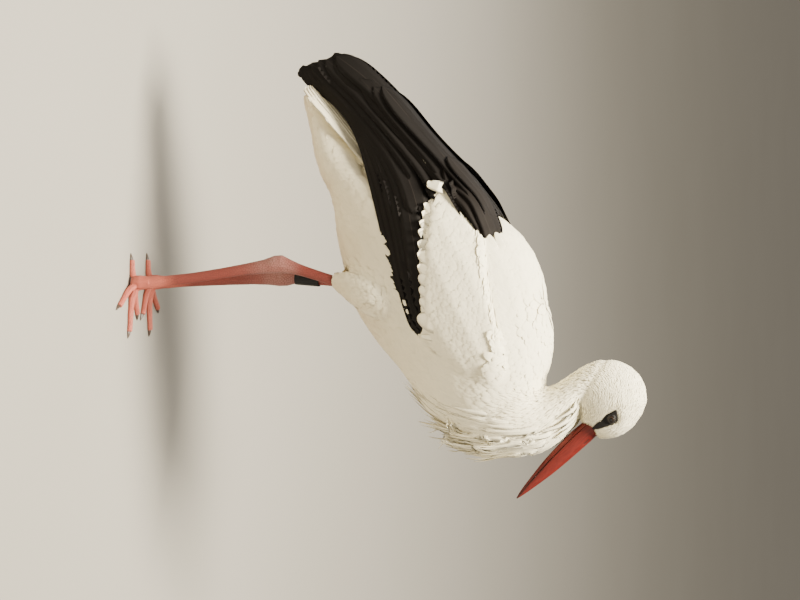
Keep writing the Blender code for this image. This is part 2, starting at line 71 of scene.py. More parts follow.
def triangles_of(*nodes):
    """Points and triangles of CAD nodes, as arrays."""
    points, faces, start = [], [], 0
    for name in nodes:
        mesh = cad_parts[name].data
        co = np.empty(len(mesh.vertices) * 3)
        mesh.vertices.foreach_get("co", co)
        mesh.calc_loop_triangles()
        corners = np.empty(len(mesh.loop_triangles) * 3, np.int32)
        mesh.loop_triangles.foreach_get("vertices", corners)
        points.append(co.reshape(-1, 3))
        faces.append(corners.reshape(-1, 3) + start)
        start += len(mesh.vertices)
    return np.concatenate(points), np.concatenate(faces)


def slice_points(nodes, point, normal):
    """Where the edges of the nodes cross a plane."""
    points, faces = triangles_of(*nodes)
    away = (points - np.asarray(point)) @ np.asarray(normal)
    edges = np.concatenate([faces[:, [0, 1]], faces[:, [1, 2]], faces[:, [2, 0]]])
    a, b = away[edges[:, 0]], away[edges[:, 1]]
    crossing = (a < 0) != (b < 0)
    a, b, edges = a[crossing], b[crossing], edges[crossing]
    share = (a / (a - b))[:, None]
    return points[edges[:, 0]] * (1 - share) + points[edges[:, 1]] * share


def middle_of(node, axis, value):
    """The middle of a node's slice across one world axis, on the bird's middle plane."""
    normal = np.eye(3)[axis]
    cut = slice_points([node], normal * value, normal)
    middle = (cut.min(0) + cut.max(0)) / 2
    middle[1] = 0
    return middle


def long_axis(*nodes):
    """The direction in which some nodes are longest, and their points."""
    points, _ = triangles_of(*nodes)
    direction = np.linalg.svd(points - points.mean(0), full_matrices=False)[2][0]
    return direction, points


def tree_over(*nodes):
    """A search tree over the surfaces of CAD nodes."""
    points, faces = triangles_of(*nodes)
    return BVHTree.FromPolygons([Vector(p) for p in points], faces.tolist())


def reach_to(points, *nodes):
    """The distance from each point to the nearest surface of some CAD nodes."""
    tree = tree_over(*nodes)
    return np.array([tree.find_nearest(Vector(p))[3] for p in points])


def side_box(node):
    """The lowest rear corner and the size of a node's box, each as x and z."""
    low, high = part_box(node)
    return np.array([low.x, low.z]), np.array([high.x - low.x, high.z - low.z])


def unit(vectors):
    vectors = np.asarray(vectors, float)
    return vectors / (np.linalg.norm(vectors, axis=-1, keepdims=True) + 1e-12)


def ease(values, low, high):
    """0 below low, 1 above high, and a smooth step between them."""
    share = np.clip((np.asarray(values, float) - low) / (high - low), 0, 1)
    return share * share * (3 - 2 * share)


def spline(points, count):
    """A smooth curve through points, as count points spread along its rows."""
    points = np.asarray(points, float)
    before, after = 2 * points[:1] - points[1:2], 2 * points[-1:] - points[-2:-1]
    padded = np.concatenate([before, points, after])
    t = np.linspace(0, len(points) - 1, count)
    i = np.minimum(t.astype(int), len(points) - 2)
    f = (t - i)[:, None]
    a, b, c, d = padded[i], padded[i + 1], padded[i + 2], padded[i + 3]
    slope, bend, twist = c - a, 2 * a - 5 * b + 4 * c - d, 3 * b - a - 3 * c + d
    return 0.5 * (2 * b + slope * f + bend * f**2 + twist * f**3)


# The body's axis: how many points it has, how many of the bill's rearmost points mark its base, and the
# square metres over which its direction is blended. It is measured in chunks of points, to save memory.
AXIS_POINTS, BASE_POINTS, AXIS_BLEND, CHUNK = 240, 40, 0.0012, 4000
# Where the axis crosses the neck, in metres above the underside of the head, and where it crosses the
# trunk, as shares of the trunk's length from its front.
NECK_STOPS, TRUNK_STOPS = (0.012, -0.022, -0.056), (0.20, 0.36, 0.52, 0.68, 0.84)


class BodyAxis:
    """The middle line of head, neck, trunk and tail. Feathers point along it, from bill to tail."""

    def __init__(self):
        head_low, head_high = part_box("head")
        trunk_low, trunk_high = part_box("trunk")
        tail_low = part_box("tail")[0]
        middle = (head_low + head_high) / 2
        bill_points = triangles_of(*BILL)[0]
        base = bill_points[np.argsort(bill_points[:, 0])[:BASE_POINTS]].mean(0)
        base[1] = 0
        line = [base, (middle.x, 0, middle.z)]
        line += [middle_of("neck", 2, head_low.z + height) for height in NECK_STOPS]
        length = trunk_high.x - trunk_low.x
        line += [middle_of("trunk", 0, trunk_high.x - share * length) for share in TRUNK_STOPS]
        line.append((tail_low.x, 0, (tail_low.z + trunk_low.z) / 2))
        self.line = spline(line, AXIS_POINTS)
        self.tangent = unit(np.gradient(self.line, axis=0))
        self.share = np.concatenate([[0], np.cumsum(np.linalg.norm(np.diff(self.line, axis=0), axis=1))])
        self.share /= self.share[-1]

    def at(self, points):
        """The share of the axis nearest each point, the axis's direction there, and the angle round it."""
        share, lie, angle = [], [], []
        for part in np.array_split(np.asarray(points, float), max(1, len(points) // CHUNK)):
            square = ((part[:, None, :] - self.line[None]) ** 2).sum(2)
            nearest = square.argmin(1)
            weight = np.exp(-(square - square.min(1)[:, None]) / AXIS_BLEND)
            weight /= weight.sum(1)[:, None]
            share.append((weight * self.share).sum(1))
            tangent = unit(weight @ self.tangent)
            lie.append(tangent)
            away = part - self.line[nearest]
            above = np.cross(tangent, ACROSS)
            angle.append(np.arctan2(away[:, 1], -(away * above).sum(1)))
        return np.concatenate(share), np.concatenate(lie), np.concatenate(angle)


# ---------------------------------------------------------------- meshes and node trees


def linked(name, data):
    """A new object in the scene, which holds a mesh, a light or a camera."""
    made = bpy.data.objects.new(name, data)
    bpy.context.scene.collection.objects.link(made)
    return made


def object_of(name, points, faces, material=None):
    """A smooth-shaded object from points and faces."""
    mesh = bpy.data.meshes.new(name)
    mesh.from_pydata([tuple(p) for p in points], [], [tuple(int(i) for i in f) for f in faces])
    mesh.validate()
    mesh.shade_smooth()
    if material:
        mesh.materials.append(material)
    return linked(name, mesh)


def outward(thing):
    """Recalculates the faces of a closed mesh so that they point out."""
    made = bmesh.new()
    made.from_mesh(thing.data)
    bmesh.ops.recalc_face_normals(made, faces=made.faces)
    made.to_mesh(thing.data)
    made.free()
    return thing


def tube_faces(rows, sides, closed=False):
    """The faces between rows of points, each row a ring. A closed tube's last row joins its first."""
    faces = []
    for row in range(rows if closed else rows - 1):
        start, ahead = row * sides, (row + 1) % rows * sides
        for k in range(sides):
            n = (k + 1) % sides
            faces.append((start + k, start + n, ahead + n, ahead + k))
    return faces


def with_ends(rows):
    """Values on the points of a lofted tube, with the mean of its first and last ring for its caps."""
    return np.concatenate([*rows, [rows[0].mean(0), rows[-1].mean(0)]])


def loft(name, rings, material):
    """A closed tube through rings of points, with a cap on each end."""
    rings = np.asarray(rings, float)
    count, sides = rings.shape[:2]
    faces = tube_faces(count, sides)
    points = with_ends(rings)
    last, end = len(points) - 1, (count - 1) * sides
    for k in range(sides):
        n = (k + 1) % sides
        faces += [(last - 1, n, k), (last, end + k, end + n)]
    return outward(object_of(name, points, faces, material))


def arrays_of(mesh):
    """The points of a mesh and their normals."""
    points = np.empty(len(mesh.vertices) * 3)
    mesh.vertices.foreach_get("co", points)
    normals = np.empty(len(mesh.vertices) * 3)
    mesh.vertices.foreach_get("normal", normals)
    return points.reshape(-1, 3), normals.reshape(-1, 3)


def set_points(mesh, points):
    mesh.vertices.foreach_set("co", np.ascontiguousarray(points, np.float32).ravel())
    mesh.update()


def store(mesh, name, values):
    """A float or vector attribute on the points of a mesh."""
    values = np.asarray(values, np.float32)
    vector = values.ndim == 2
    kind, field = ("FLOAT_VECTOR", "vector") if vector else ("FLOAT", "value")
    mesh.attributes.new(name, kind, "POINT").data.foreach_set(field, values.ravel())


def feed(tree, socket, value):
    """Sets a socket to a value, or links it to the socket that feeds it."""
    if isinstance(value, bpy.types.NodeSocket):
        tree.links.new(value, socket)
    else:
        socket.default_value = value


def in_use(sockets, name):
    """The socket of this name that the node's settings leave in use."""
    return next(socket for socket in sockets if socket.name == name and socket.enabled)


def node(tree, kind, inputs=None, **settings):
    """Adds a node. inputs maps a socket's name or number to a value or to the socket that feeds it."""
    made = tree.nodes.new(kind)
    for key, value in settings.items():
        setattr(made, key, value)
    for key, value in (inputs or {}).items():
        feed(tree, made.inputs[key], value)
    return made


def math_node(tree, operation, *values):
    return node(tree, "ShaderNodeMath", dict(enumerate(values)), operation=operation).outputs[0]


def product(tree, first, *others):
    """Values multiplied one after the other."""
    for value in others:
        first = math_node(tree, "MULTIPLY", first, value)
    return first


def vector_node(tree, operation, *values):
    return node(tree, "ShaderNodeVectorMath", dict(enumerate(values)), operation=operation).outputs[0]


def scaled(tree, vector, scale):
    return node(tree, "ShaderNodeVectorMath", {0: vector, "Scale": scale}, operation="SCALE").outputs[0]


def named(tree, name, kind="FLOAT"):
    made = node(tree, "GeometryNodeInputNamedAttribute", {"Name": name}, data_type=kind)
    return made.outputs["Attribute"]


def new_tree(name, *inputs):
    """A Geometry Nodes tree with geometry in and out, and inputs given as name, socket type and default."""
    tree = bpy.data.node_groups.new(name, "GeometryNodeTree")
    tree.interface.new_socket("Geometry", in_out="INPUT", socket_type="NodeSocketGeometry")
    tree.interface.new_socket("Geometry", in_out="OUTPUT", socket_type="NodeSocketGeometry")
    for label, kind, default in inputs:
        socket = tree.interface.new_socket(label, in_out="INPUT", socket_type=kind)
        if default is not None:
            socket.default_value = default
    return tree, tree.nodes.new("NodeGroupInput").outputs


def end_tree(tree, geometry, material):
    """Closes a tree with Realize Instances and Set Material."""
    real = node(tree, "GeometryNodeRealizeInstances", {"Geometry": geometry})
    done = node(tree, "GeometryNodeSetMaterial", {"Geometry": real.outputs[0], "Material": material})
    node(tree, "NodeGroupOutput", {0: done.outputs[0]})


def add_tree(thing, tree, **values):
    """Puts a tree on an object. A keyword is an input's name with _ for each space."""
    modifier = thing.modifiers.new(tree.name, "NODES")
    modifier.node_group = tree
    for item in tree.interface.items_tree:
        key = item.name.lower().replace(" ", "_")
        if item.in_out == "INPUT" and key in values:
            modifier[item.identifier] = values[key]


def plain(thing):
    """The evaluated object as a plain mesh without modifiers, in place of the object it came from."""
    graph = bpy.context.evaluated_depsgraph_get()
    graph.update()
    mesh = bpy.data.meshes.new_from_object(thing.evaluated_get(graph), depsgraph=graph)
    mesh_name = thing.name
    bpy.data.objects.remove(thing, do_unlink=True)
    mesh.name = mesh_name
    return linked(mesh_name, mesh)


def discard(*things):
    for thing in things:
        bpy.data.objects.remove(thing, do_unlink=True)


def largest_part(mesh):
    """Drops all but the biggest connected part of a mesh."""
    made = bmesh.new()
    made.from_mesh(mesh)
    made.verts.ensure_lookup_table()
    label, parts = {}, []
    for start in made.verts:
        if start.index in label:
            continue
        stack, part = [start], []
        label[start.index] = len(parts)
        while stack:
            here = stack.pop()
            part.append(here)
            for edge in here.link_edges:
                other = edge.other_vert(here)
                if other.index not in label:
                    label[other.index] = len(parts)
                    stack.append(other)
        parts.append(part)
    parts.sort(key=len)
    for part in parts[:-1]:
        bmesh.ops.delete(made, geom=part, context="VERTS")
    made.to_mesh(mesh)
    made.free()


def joined_copy(name, nodes, swell):
    """One mesh of several CAD nodes, each merged and swollen a little so that neighbours overlap."""
    made = bmesh.new()
    for source in nodes:
        part = bmesh.new()
        part.from_mesh(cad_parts[source].data)
        bmesh.ops.remove_doubles(part, verts=part.verts, dist=1e-6)
        part.normal_update()
        for vert in part.verts:
            vert.co += vert.normal * swell
        mesh = bpy.data.meshes.new(source)
        part.to_mesh(mesh)
        part.free()
        made.from_mesh(mesh)
        bpy.data.meshes.remove(mesh)
    mesh = bpy.data.meshes.new(name)
    made.to_mesh(mesh)
    made.free()
    return linked(name, mesh)


def on_floor(points):
    """Points with none below the floor."""
    return np.stack([points[:, 0], points[:, 1], np.maximum(points[:, 2], 0.0)], 1)


def inset_tree():
    """Draws a closed surface in by an even depth, through a volume three depths thick."""
    tree, given = new_tree(
        "Inset", ("Voxel", "NodeSocketFloat", 0.003), ("Depth", "NodeSocketFloat", 0.004),
        ("Material", "NodeSocketMaterial", None),
    )
    volume = node(tree, "GeometryNodeMeshToVolume", {
        "Mesh": given["Geometry"], "Density": 1.0, "Voxel Size": given["Voxel"],
        "Interior Band Width": math_node(tree, "MULTIPLY", given["Depth"], 3.0),
    }, resolution_mode="VOXEL_SIZE")
    shell = node(tree, "GeometryNodeVolumeToMesh", {"Volume": volume.outputs[0], "Threshold": 1 / 3})
    end_tree(tree, shell.outputs[0], given["Material"])
    return tree


def smooth_copy(name, nodes, material, swell, voxel, rounds, drawn=0.0):
    """Several CAD nodes as one smooth closed mesh, drawn in by an even depth where one is given."""
    thing = joined_copy(name, nodes, swell)
    thing.data.materials.append(material)
    remesh = thing.modifiers.new("remesh", "REMESH")
    remesh.mode, remesh.voxel_size = "VOXEL", voxel
    if drawn:
        add_tree(thing, inset_tree(), voxel=voxel, depth=drawn, material=material)
    smooth = thing.modifiers.new("smooth", "SMOOTH")
    smooth.factor, smooth.iterations = 0.5, rounds
    thing = plain(thing)
    largest_part(thing.data)
    thing.data.shade_smooth()
    return thing


# ---------------------------------------------------------------- materials


def surface(name, roughness, **sockets):
    """A new material: its node tree, its Principled shader and itself."""
    material = bpy.data.materials.new(name)
    material.use_nodes = True
    tree = material.node_tree
    shader = tree.nodes["Principled BSDF"]
    shader.inputs["Roughness"].default_value = roughness
    for key, value in sockets.items():
        shader.inputs[key.replace("_", " ").title().replace("Ior", "IOR")].default_value = value
    return tree, shader, material


def attribute(tree, name):
    return node(tree, "ShaderNodeAttribute", attribute_name=name).outputs["Fac"]


def here(tree):
    return node(tree, "ShaderNodeTexCoord").outputs["Object"]


def noise(tree, scale, detail=3.0, where=None):
    return node(tree, "ShaderNodeTexNoise", {
        "Vector": where or here(tree), "Scale": scale, "Detail": detail,
    }).outputs["Fac"]


def toned(paint, share):
    return tuple(share * part for part in paint)


def blend(tree, factor, first, second, how="MIX"):
    """Two colours blended. Each is three numbers or the socket that feeds it."""
    mixed = node(tree, "ShaderNodeMix", data_type="RGBA", blend_type=how)
    feed(tree, in_use(mixed.inputs, "Factor"), factor)
    for key, value in (("A", first), ("B", second)):
        given = value if isinstance(value, bpy.types.NodeSocket) else (*value, 1.0)
        feed(tree, in_use(mixed.inputs, key), given)
    return in_use(mixed.outputs, "Result")


def ramp(tree, factor, low, high):
    """The factor mapped from low..high to 0..1 with a smooth step."""
    return node(tree, "ShaderNodeMapRange", {
        "Value": factor, "From Min": low, "From Max": high,
    }, interpolation_type="SMOOTHSTEP").outputs[0]


def bump(tree, shader, height, strength, distance):
    made = node(tree, "ShaderNodeBump", {"Height": height, "Strength": strength, "Distance": distance})
    tree.links.new(made.outputs["Normal"], shader.inputs["Normal"])


def colour(tree, shader, socket):
    tree.links.new(socket, shader.inputs["Base Color"])


def barbs(tree, pitch):
    """Fine ridges along the barbs of a vane, from the length that each point lies along its barb."""
    turns = product(tree, attribute(tree, "barb"), 2 * math.pi / pitch)
    return math_node(tree, "MULTIPLY_ADD", math_node(tree, "SINE", turns), 0.5, 0.5)


def white_feather(look):
    """White vanes, unlike each other, darker towards their roots as painted shade, and browner with soiling
    and painted warm shade.
    """
    tree, shader, material = surface("white_feather", 0.82, sheen_weight=0.18, sheen_roughness=0.5)
    # Browner by the stain mark, which is partly soiling and partly painted warm shade on the lower body.
    patches = math_node(tree, "MULTIPLY_ADD", noise(tree, 14.0), 0.8, 0.5)
    dirt_and_shade = product(tree, attribute(tree, "stain"), patches)
    body = blend(tree, dirt_and_shade, look.white, look.soiled_and_shaded)
    # A random tone for each feather; the painted_shade row's far lower tint darkens it as painted shade
    # between the white lobes.
    shade = math_node(tree, "MULTIPLY_ADD", attribute(tree, "tint"), 0.05, 0.95)
    # Painted shade: each vane darkens towards its root, where the vanes over it would shade it.
    root = math_node(tree, "MULTIPLY_ADD", ramp(tree, attribute(tree, "along"), 0.0, 0.75), 0.08, 0.92)
    level = product(tree, shade, root)
    lit = node(tree, "ShaderNodeCombineColor", {0: level, 1: level, 2: level}).outputs[0]
    colour(tree, shader, blend(tree, 1.0, body, lit, "MULTIPLY"))
    bump(tree, shader, barbs(tree, 0.0011), 0.15, 0.0003)
    return material


def skin_surface(look):
    """Pale skin, which shows only as a shade between feathers, with the bare black skin round the eyes."""
    tree, shader, material = surface("skin", 0.75)
    # Darker than the feathers as painted shade between them, and browner by the stain mark, partly soiling
    # and partly painted warm shade.
    body = blend(tree, attribute(tree, "stain"), toned(look.white, 0.8), toned(look.soiled_and_shaded, 0.75))
    colour(tree, shader, blend(tree, attribute(tree, "dark"), body, (0.012, 0.011, 0.011)))
    bump(tree, shader, noise(tree, 600.0), 0.3, 0.0004)
    return material


def black_feather(look):
    """Black vanes, browner where they are worn, with a painted brown sheen along their rims, and a paler
    shaft.
    """
    tree, shader, material = surface("black_feather", 0.75, specular_ior_level=0.12)
    cloud = math_node(tree, "MULTIPLY_ADD", noise(tree, 16.0), 0.9, -0.1)
    # The stain mark here is wear, and on the short upper flight feathers also painted brown sheen.
    worn = product(tree, attribute(tree, "stain"), cloud)
    # Painted sheen: the vanes turn browner towards their rims.
    rim = ramp(tree, attribute(tree, "edge"), 0.85, 1.0)
    body = blend(tree, math_node(tree, "MULTIPLY_ADD", rim, 0.18, worn), look.black, look.black_worn)
    shaft = ramp(tree, attribute(tree, "shaft"), 0.35, 0.9)
    colour(tree, shader, blend(tree, shaft, body, look.shaft))
    bump(tree, shader, barbs(tree, 0.0012), 0.12, 0.0004)
    return material


# ---------------------------------------------------------------- settings


def distance(name, text, value):
    return FloatProperty(name=name, description=text, default=value, min=0.0, unit="LENGTH")


def paint(name, text, value):
    return FloatVectorProperty(
        name=name, description=text, default=value, size=3, min=0.0, max=1.0, subtype="COLOR"
    )


class StorkPlumage(bpy.types.PropertyGroup):
    """Sizes and colours of the feathers."""

    voxel: distance("Skin Grid", "Edge length of the skin's faces", 0.003)
    head: distance("Head Feather", "Length of a feather on the crown", 0.0095)
    neck: distance("Neck Feather", "Length of a feather on the neck", 0.026)
    back: distance("Back Feather", "Length of a feather on the back", 0.036)
    belly: distance("Belly Feather", "Length of a feather on the belly", 0.032)
    covert: distance("Wing Covert", "Length of a small covert on the wing", 0.026)
    thigh: distance("Thigh Feather", "Length of a feather on the thigh", 0.022)
    white: paint("White", "Clean white plumage", (0.93, 0.865, 0.64))
    # This colour is both the real soiling of the belly and the painted warm shade of the lower body.
    soiled_and_shaded: paint("Soiled White", "Plumage on the belly and under the tail", (0.60, 0.48, 0.30))
    black: paint("Black", "Flight feathers", (0.0085, 0.0073, 0.0067))
    # This colour is both the real wear of the flight feathers and the painted brown sheen along their rims.
    black_worn: paint("Worn Black", "Bleached edges of the flight feathers", (0.020, 0.0145, 0.0115))
    shaft: paint("Shaft", "Shafts of the flight feathers", (0.022, 0.018, 0.016))


class StorkBareParts(bpy.types.PropertyGroup):
    """Sizes and colours of the bill, eyes, legs and feet."""

    bill: paint("Bill", "Horn of the bill", (0.100, 0.0085, 0.0055))
    bill_light: paint("Light Bill", "Streaks in the horn", (0.150, 0.014, 0.009))
    # This colour serves both the real dark stains of the horn and the painted shade of the mouth line and
    # nostrils.
    bill_dark: paint("Dark Bill", "Mouth line, nostrils and stains", (0.030, 0.008, 0.006))
    nostril_at: distance("Nostril Place", "Distance of the nostril's middle from the base", 0.023)
    nostril_length: distance("Nostril Length", "Length of the nostril slit", 0.013)
    eye_opening: distance("Eye Opening", "Width of the eye between its lids", 0.0115)
    leg: paint("Leg", "Brick red skin of the leg", (0.25, 0.042, 0.030))
    foot: paint("Foot", "Coral skin of the toes", (0.55, 0.135, 0.090))
    heel: paint("Heel", "Dusty skin of the heel", (0.36, 0.17, 0.145))


# ---------------------------------------------------------------- skin

COVERTS = ("wing_right_coverts", "wing_left_coverts")
SKIN_NODES = ("head", "neck", "trunk", "thigh_right", "thigh_left", *COVERTS)
# How deep the coat is over each of these nodes, and by the bill. It deepens with the distance from the
# head and from the bill, between the distances given.
COAT_DEPTHS = (0.0022, 0.0055, 0.0065, 0.0055, 0.0055, 0.0045, 0.0045)
FACE_DEPTH, FROM_HEAD, FROM_BILL = 0.0012, (0.0, 0.045), (0.006, 0.03)
# How the skin is made from its nodes before it is fitted: how far they are swollen so that they overlap,
# its rounds of smoothing, and how far it is drawn in.
OVERLAP, SKIN_ROUNDS, SKIN_DRAWN = 0.0006, 5, 0.004


def nearest_nodes(points, names):
    """For each point, the index of the nearest of some CAD nodes and the distance to it."""
    away = np.stack([reach_to(points, name) for name in names])
    return away.argmin(0), away.min(0)


def spread(mesh, values, rounds):
    """Evens out values on the points of a mesh by averaging along its edges."""
    edges = np.empty(len(mesh.edges) * 2, np.int32)
    mesh.edges.foreach_get("vertices", edges)
    a, b = edges.reshape(-1, 2).T
    values = np.asarray(values, float)
    flat = values.reshape(len(values), -1)
    count = np.bincount(a, minlength=len(flat)) + np.bincount(b, minlength=len(flat)) + 1.0
    for _ in range(rounds):
        total = flat.copy()
        for k in range(flat.shape[1]):
            total[:, k] += np.bincount(a, flat[b, k], len(flat)) + np.bincount(b, flat[a, k], len(flat))
        flat = total / count[:, None]
    return flat.reshape(values.shape)


# The outline of the bare patch round the eye, in mm forward of and above the eye's centre.
EYE_PATCH = (
    (-14.5, 8.6), (-6.0, 9.6), (2.5, 9.5), (7.5, 5.0), (11.0, -4.0), (13.5, -12.0), (16.5, -24.0),
    (15.0, -29.0), (10.5, -26.5), (4.5, -18.5), (-0.5, -12.0), (-5.5, -7.5), (-9.5, 0.0),
)
# The bare patch under the corner of the mouth: how far forward of and above that corner, and its half
# sizes.
GAPE_PATCH = np.array((-0.001, -0.006, 0.0045, 0.0042))


def inside_by(points, outline):
    """How far 2-D points lie inside a closed outline, below zero outside it."""
    outline = np.asarray(outline, float)
    start, end = outline, np.roll(outline, -1, 0)
    run = end - start
    away = points[:, None, :] - start[None]
    t = np.clip((away * run).sum(2) / (run * run).sum(1), 0, 1)
    reach = np.linalg.norm(away - t[..., None] * run, axis=2).min(1)
    crosses = (start[:, 1] > points[:, 1:2]) != (end[:, 1] > points[:, 1:2])
    slope = run[:, 0] / np.where(run[:, 1] == 0, 1e-9, run[:, 1])
    at = start[:, 0] + (points[:, 1:2] - start[:, 1]) * slope
    inside = ((crosses & (points[:, 0:1] < at)).sum(1) % 2).astype(bool)
    return np.where(inside, reach, -reach)


def eye_ball(side):
    """The centre and radius of an eye."""
    low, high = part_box("eye_" + side)
    return np.array((low + high) / 2), (high.z - low.z) / 2


def patch_outline():
    """The bare patch's outline as a smooth closed curve, in metres from the eye's centre."""
    return spline(np.array(EYE_PATCH + EYE_PATCH[:1]), 73)[:-1] / 1000


def bare_face(points):
    """How far points lie inside the bare patch, seen from the side."""
    return inside_by(points[:, [0, 2]] - eye_ball("right")[0][[0, 2]], patch_outline())


def gape(points):
    """1 on the small bare patch under the corner of the mouth, 0 away from it."""
    mouth = triangles_of("bill_lower")[0]
    corner = mouth[mouth[:, 0].argmin()][[0, 2]]
    away = (points[:, [0, 2]] - corner - GAPE_PATCH[:2]) / GAPE_PATCH[2:]
    return 1 - ease((away**2).sum(1), 0.8, 1.2)


# How far ahead of each feather the coat looks for the wing's black, and in what steps.
LOOK_AHEAD, LOOK_STEP, LOOK_ASIDE = 0.036, 0.004, 0.02


def room_ahead(points, lie):
    """How far along the coat a feather rooted at each point reaches before it lies over the wing's black."""
    black, white = tree_over(*COVER), tree_over("trunk", "neck", *COVERTS)
    room = np.full(len(points), 1.0)
    near = [i for i, p in enumerate(points) if black.find_nearest(Vector(p), LOOK_AHEAD)[0] is not None]
    for reach in np.arange(LOOK_AHEAD, 0, -LOOK_STEP):
        for i in near:
            ahead = Vector(points[i] + lie[i] * reach)
            far = black.find_nearest(ahead, LOOK_ASIDE)[3]
            if far is not None and far < (white.find_nearest(ahead, LOOK_ASIDE)[3] or 1.0):
                room[i] = reach
    return room


def make_skin(look, body):
    """The one skin of head, neck, trunk, thighs and wings, with what the coat needs on its points."""
    nodes = (*SKIN_NODES, "eye_right", "eye_left")
    thing = smooth_copy("skin", nodes, skin_surface(look), OVERLAP, look.voxel, SKIN_ROUNDS, SKIN_DRAWN)
    points, normals = arrays_of(thing.data)
    index, away = nearest_nodes(points, SKIN_NODES)
    to_bill, to_head = reach_to(points, *BILL), reach_to(points, "head")
    shallow = COAT_DEPTHS[0]
    deep = shallow + (np.array(COAT_DEPTHS)[index] - shallow) * ease(to_head, *FROM_HEAD)
    depth = FACE_DEPTH + (deep - FACE_DEPTH) * ease(to_bill, *FROM_BILL)
    depth = spread(thing.data, depth, 12)
    set_points(thing.data, points + normals * spread(thing.data, away - depth, 3)[:, None])
    coat_fields(look, body, thing.data, index, depth, to_bill, to_head)
    return thing


# ---------------------------------------------------------------- coat

HEAD, NECK, TRUNK, THIGH, WING = range(5)
AREA_OF_NODE = np.array([HEAD, NECK, TRUNK, THIGH, THIGH, WING, WING])
# Feather width as a share of its length, for each area.
ASPECTS = np.array([0.26, 0.13, 0.40, 0.30, 0.50])
# How far the coat of the wing stops short of the black, and behind which x it runs up to it.
LOBES, LOBES_FROM = 0.0045, (-0.125, -0.105)
# How much the back's coat stands over the wing's.
RELIEF = 0.0020
# The way that feathers lie on the wing and thigh, and how much further down they turn on the breast.
WING_LIE, THIGH_LIE = np.array([-0.86, 0.0, -0.50]), np.array([-0.22, 0.0, -1.0])
BREAST_TURN = np.array([0.15, 0.0, -0.5])
# The breast grows in over these x and ends over these heights.
BREAST_FROM, BREAST_TO = (0.10, 0.17), (0.66, 0.72)
SHORTEST = 0.004
COVER = ("wing_right_quills", "wing_left_quills", "wing_right_tertials", "wing_left_tertials")
REGIONS = ("head", "neck", "back", "breast", "belly", "thigh", "wing")


def coat_fields(look, body, mesh, index, depth, to_bill, to_head):
    """Stores on the skin how its feathers lie, how big they are, and which piece each face belongs to."""
    points, normals = arrays_of(mesh)
    out = unit(spread(mesh, normals, 4))
    share, tangent, angle = body.at(points)
    area = AREA_OF_NODE[index]
    weight = spread(mesh, np.eye(5)[area], 6)
    breast = ease(points[:, 0], *BREAST_FROM) * (1 - ease(points[:, 2], *BREAST_TO))
    lie = tangent * (1 - weight[:, THIGH] - weight[:, WING])[:, None]
    lie += weight[:, THIGH, None] * THIGH_LIE + weight[:, WING, None] * WING_LIE
    lie += breast[:, None] * BREAST_TURN
    lie = unit(spread(mesh, unit(lie - out * (lie * out).sum(1)[:, None]), 3))
    under = ease(-out[:, 2], -0.1, 0.9)
    lengths = np.stack([
        look.head * (0.42 + 0.58 * ease(to_bill, 0.0, 0.035)),
        look.head + (look.neck - look.head) * ease(to_head, -0.005, 0.055),
        look.back + (look.belly - look.back) * under,
        np.full(len(points), look.thigh), np.full(len(points), look.covert),
    ], axis=1)
    length = (lengths * weight).sum(1)
    face = bare_face(points)
    length *= 1 - 0.55 * weight[:, HEAD] * ease(face, -0.008, 0.0)
    width = length * (weight @ ASPECTS) * (1 + 0.6 * weight[:, NECK] * (1 - ease(to_head, 0.0, 0.05)))
    width *= 1 - 0.2 * weight[:, TRUNK] * np.maximum(under, breast)
    room = room_ahead(points, lie) + 0.001 - LOBES * weight[:, WING] * ease(points[:, 0], *LOBES_FROM)
    length = np.minimum(length, np.maximum(room, SHORTEST))
    by_wing = ease(-reach_to(points, *COVERTS), -0.035, -0.004)
    depth = depth + RELIEF * weight[:, TRUNK] * by_wing * ease(out[:, 2], -0.2, 0.3)
    low = 1 - ease(points[:, 2], 0.30, 0.60)
    dark = np.maximum(ease(face, -0.0015, 0.0005) * (weight[:, HEAD] > 0.5), gape(points))
    for name, values in (
        ("lie", lie), ("out", out), ("long", length), ("wide", width), ("lift", depth),
        # Partly soiling and partly painted warm shade: browner low on the body, most where the skin faces
        # down.
        ("stain", np.clip(0.65 * under * low + 0.30 * low + 0.10 * breast, 0, 1)), ("dark", dark),
        ("sweep", np.stack([share, np.abs(angle) / math.pi, np.zeros(len(share))], 1)),
    ):
        store(mesh, name, values)
    mark_regions(mesh, points, out, lie, area, breast)


# A face is hidden where the wing's black or the bill lies this far off it, or the bill this near to it. A
# feather can't grow where it would start this far along in the bare patch.
UNDER_BLACK, UNDER_BILL, BY_BILL, UPSTREAM = 0.014, 0.010, 0.0018, 0.0022


def covered(tree, points, normals, reach):
    """Whether a surface lies within reach off each point."""
    hits = [tree.ray_cast(Vector(p), Vector(n), reach)[0] is not None for p, n in zip(points, normals)]
    return np.array(hits)


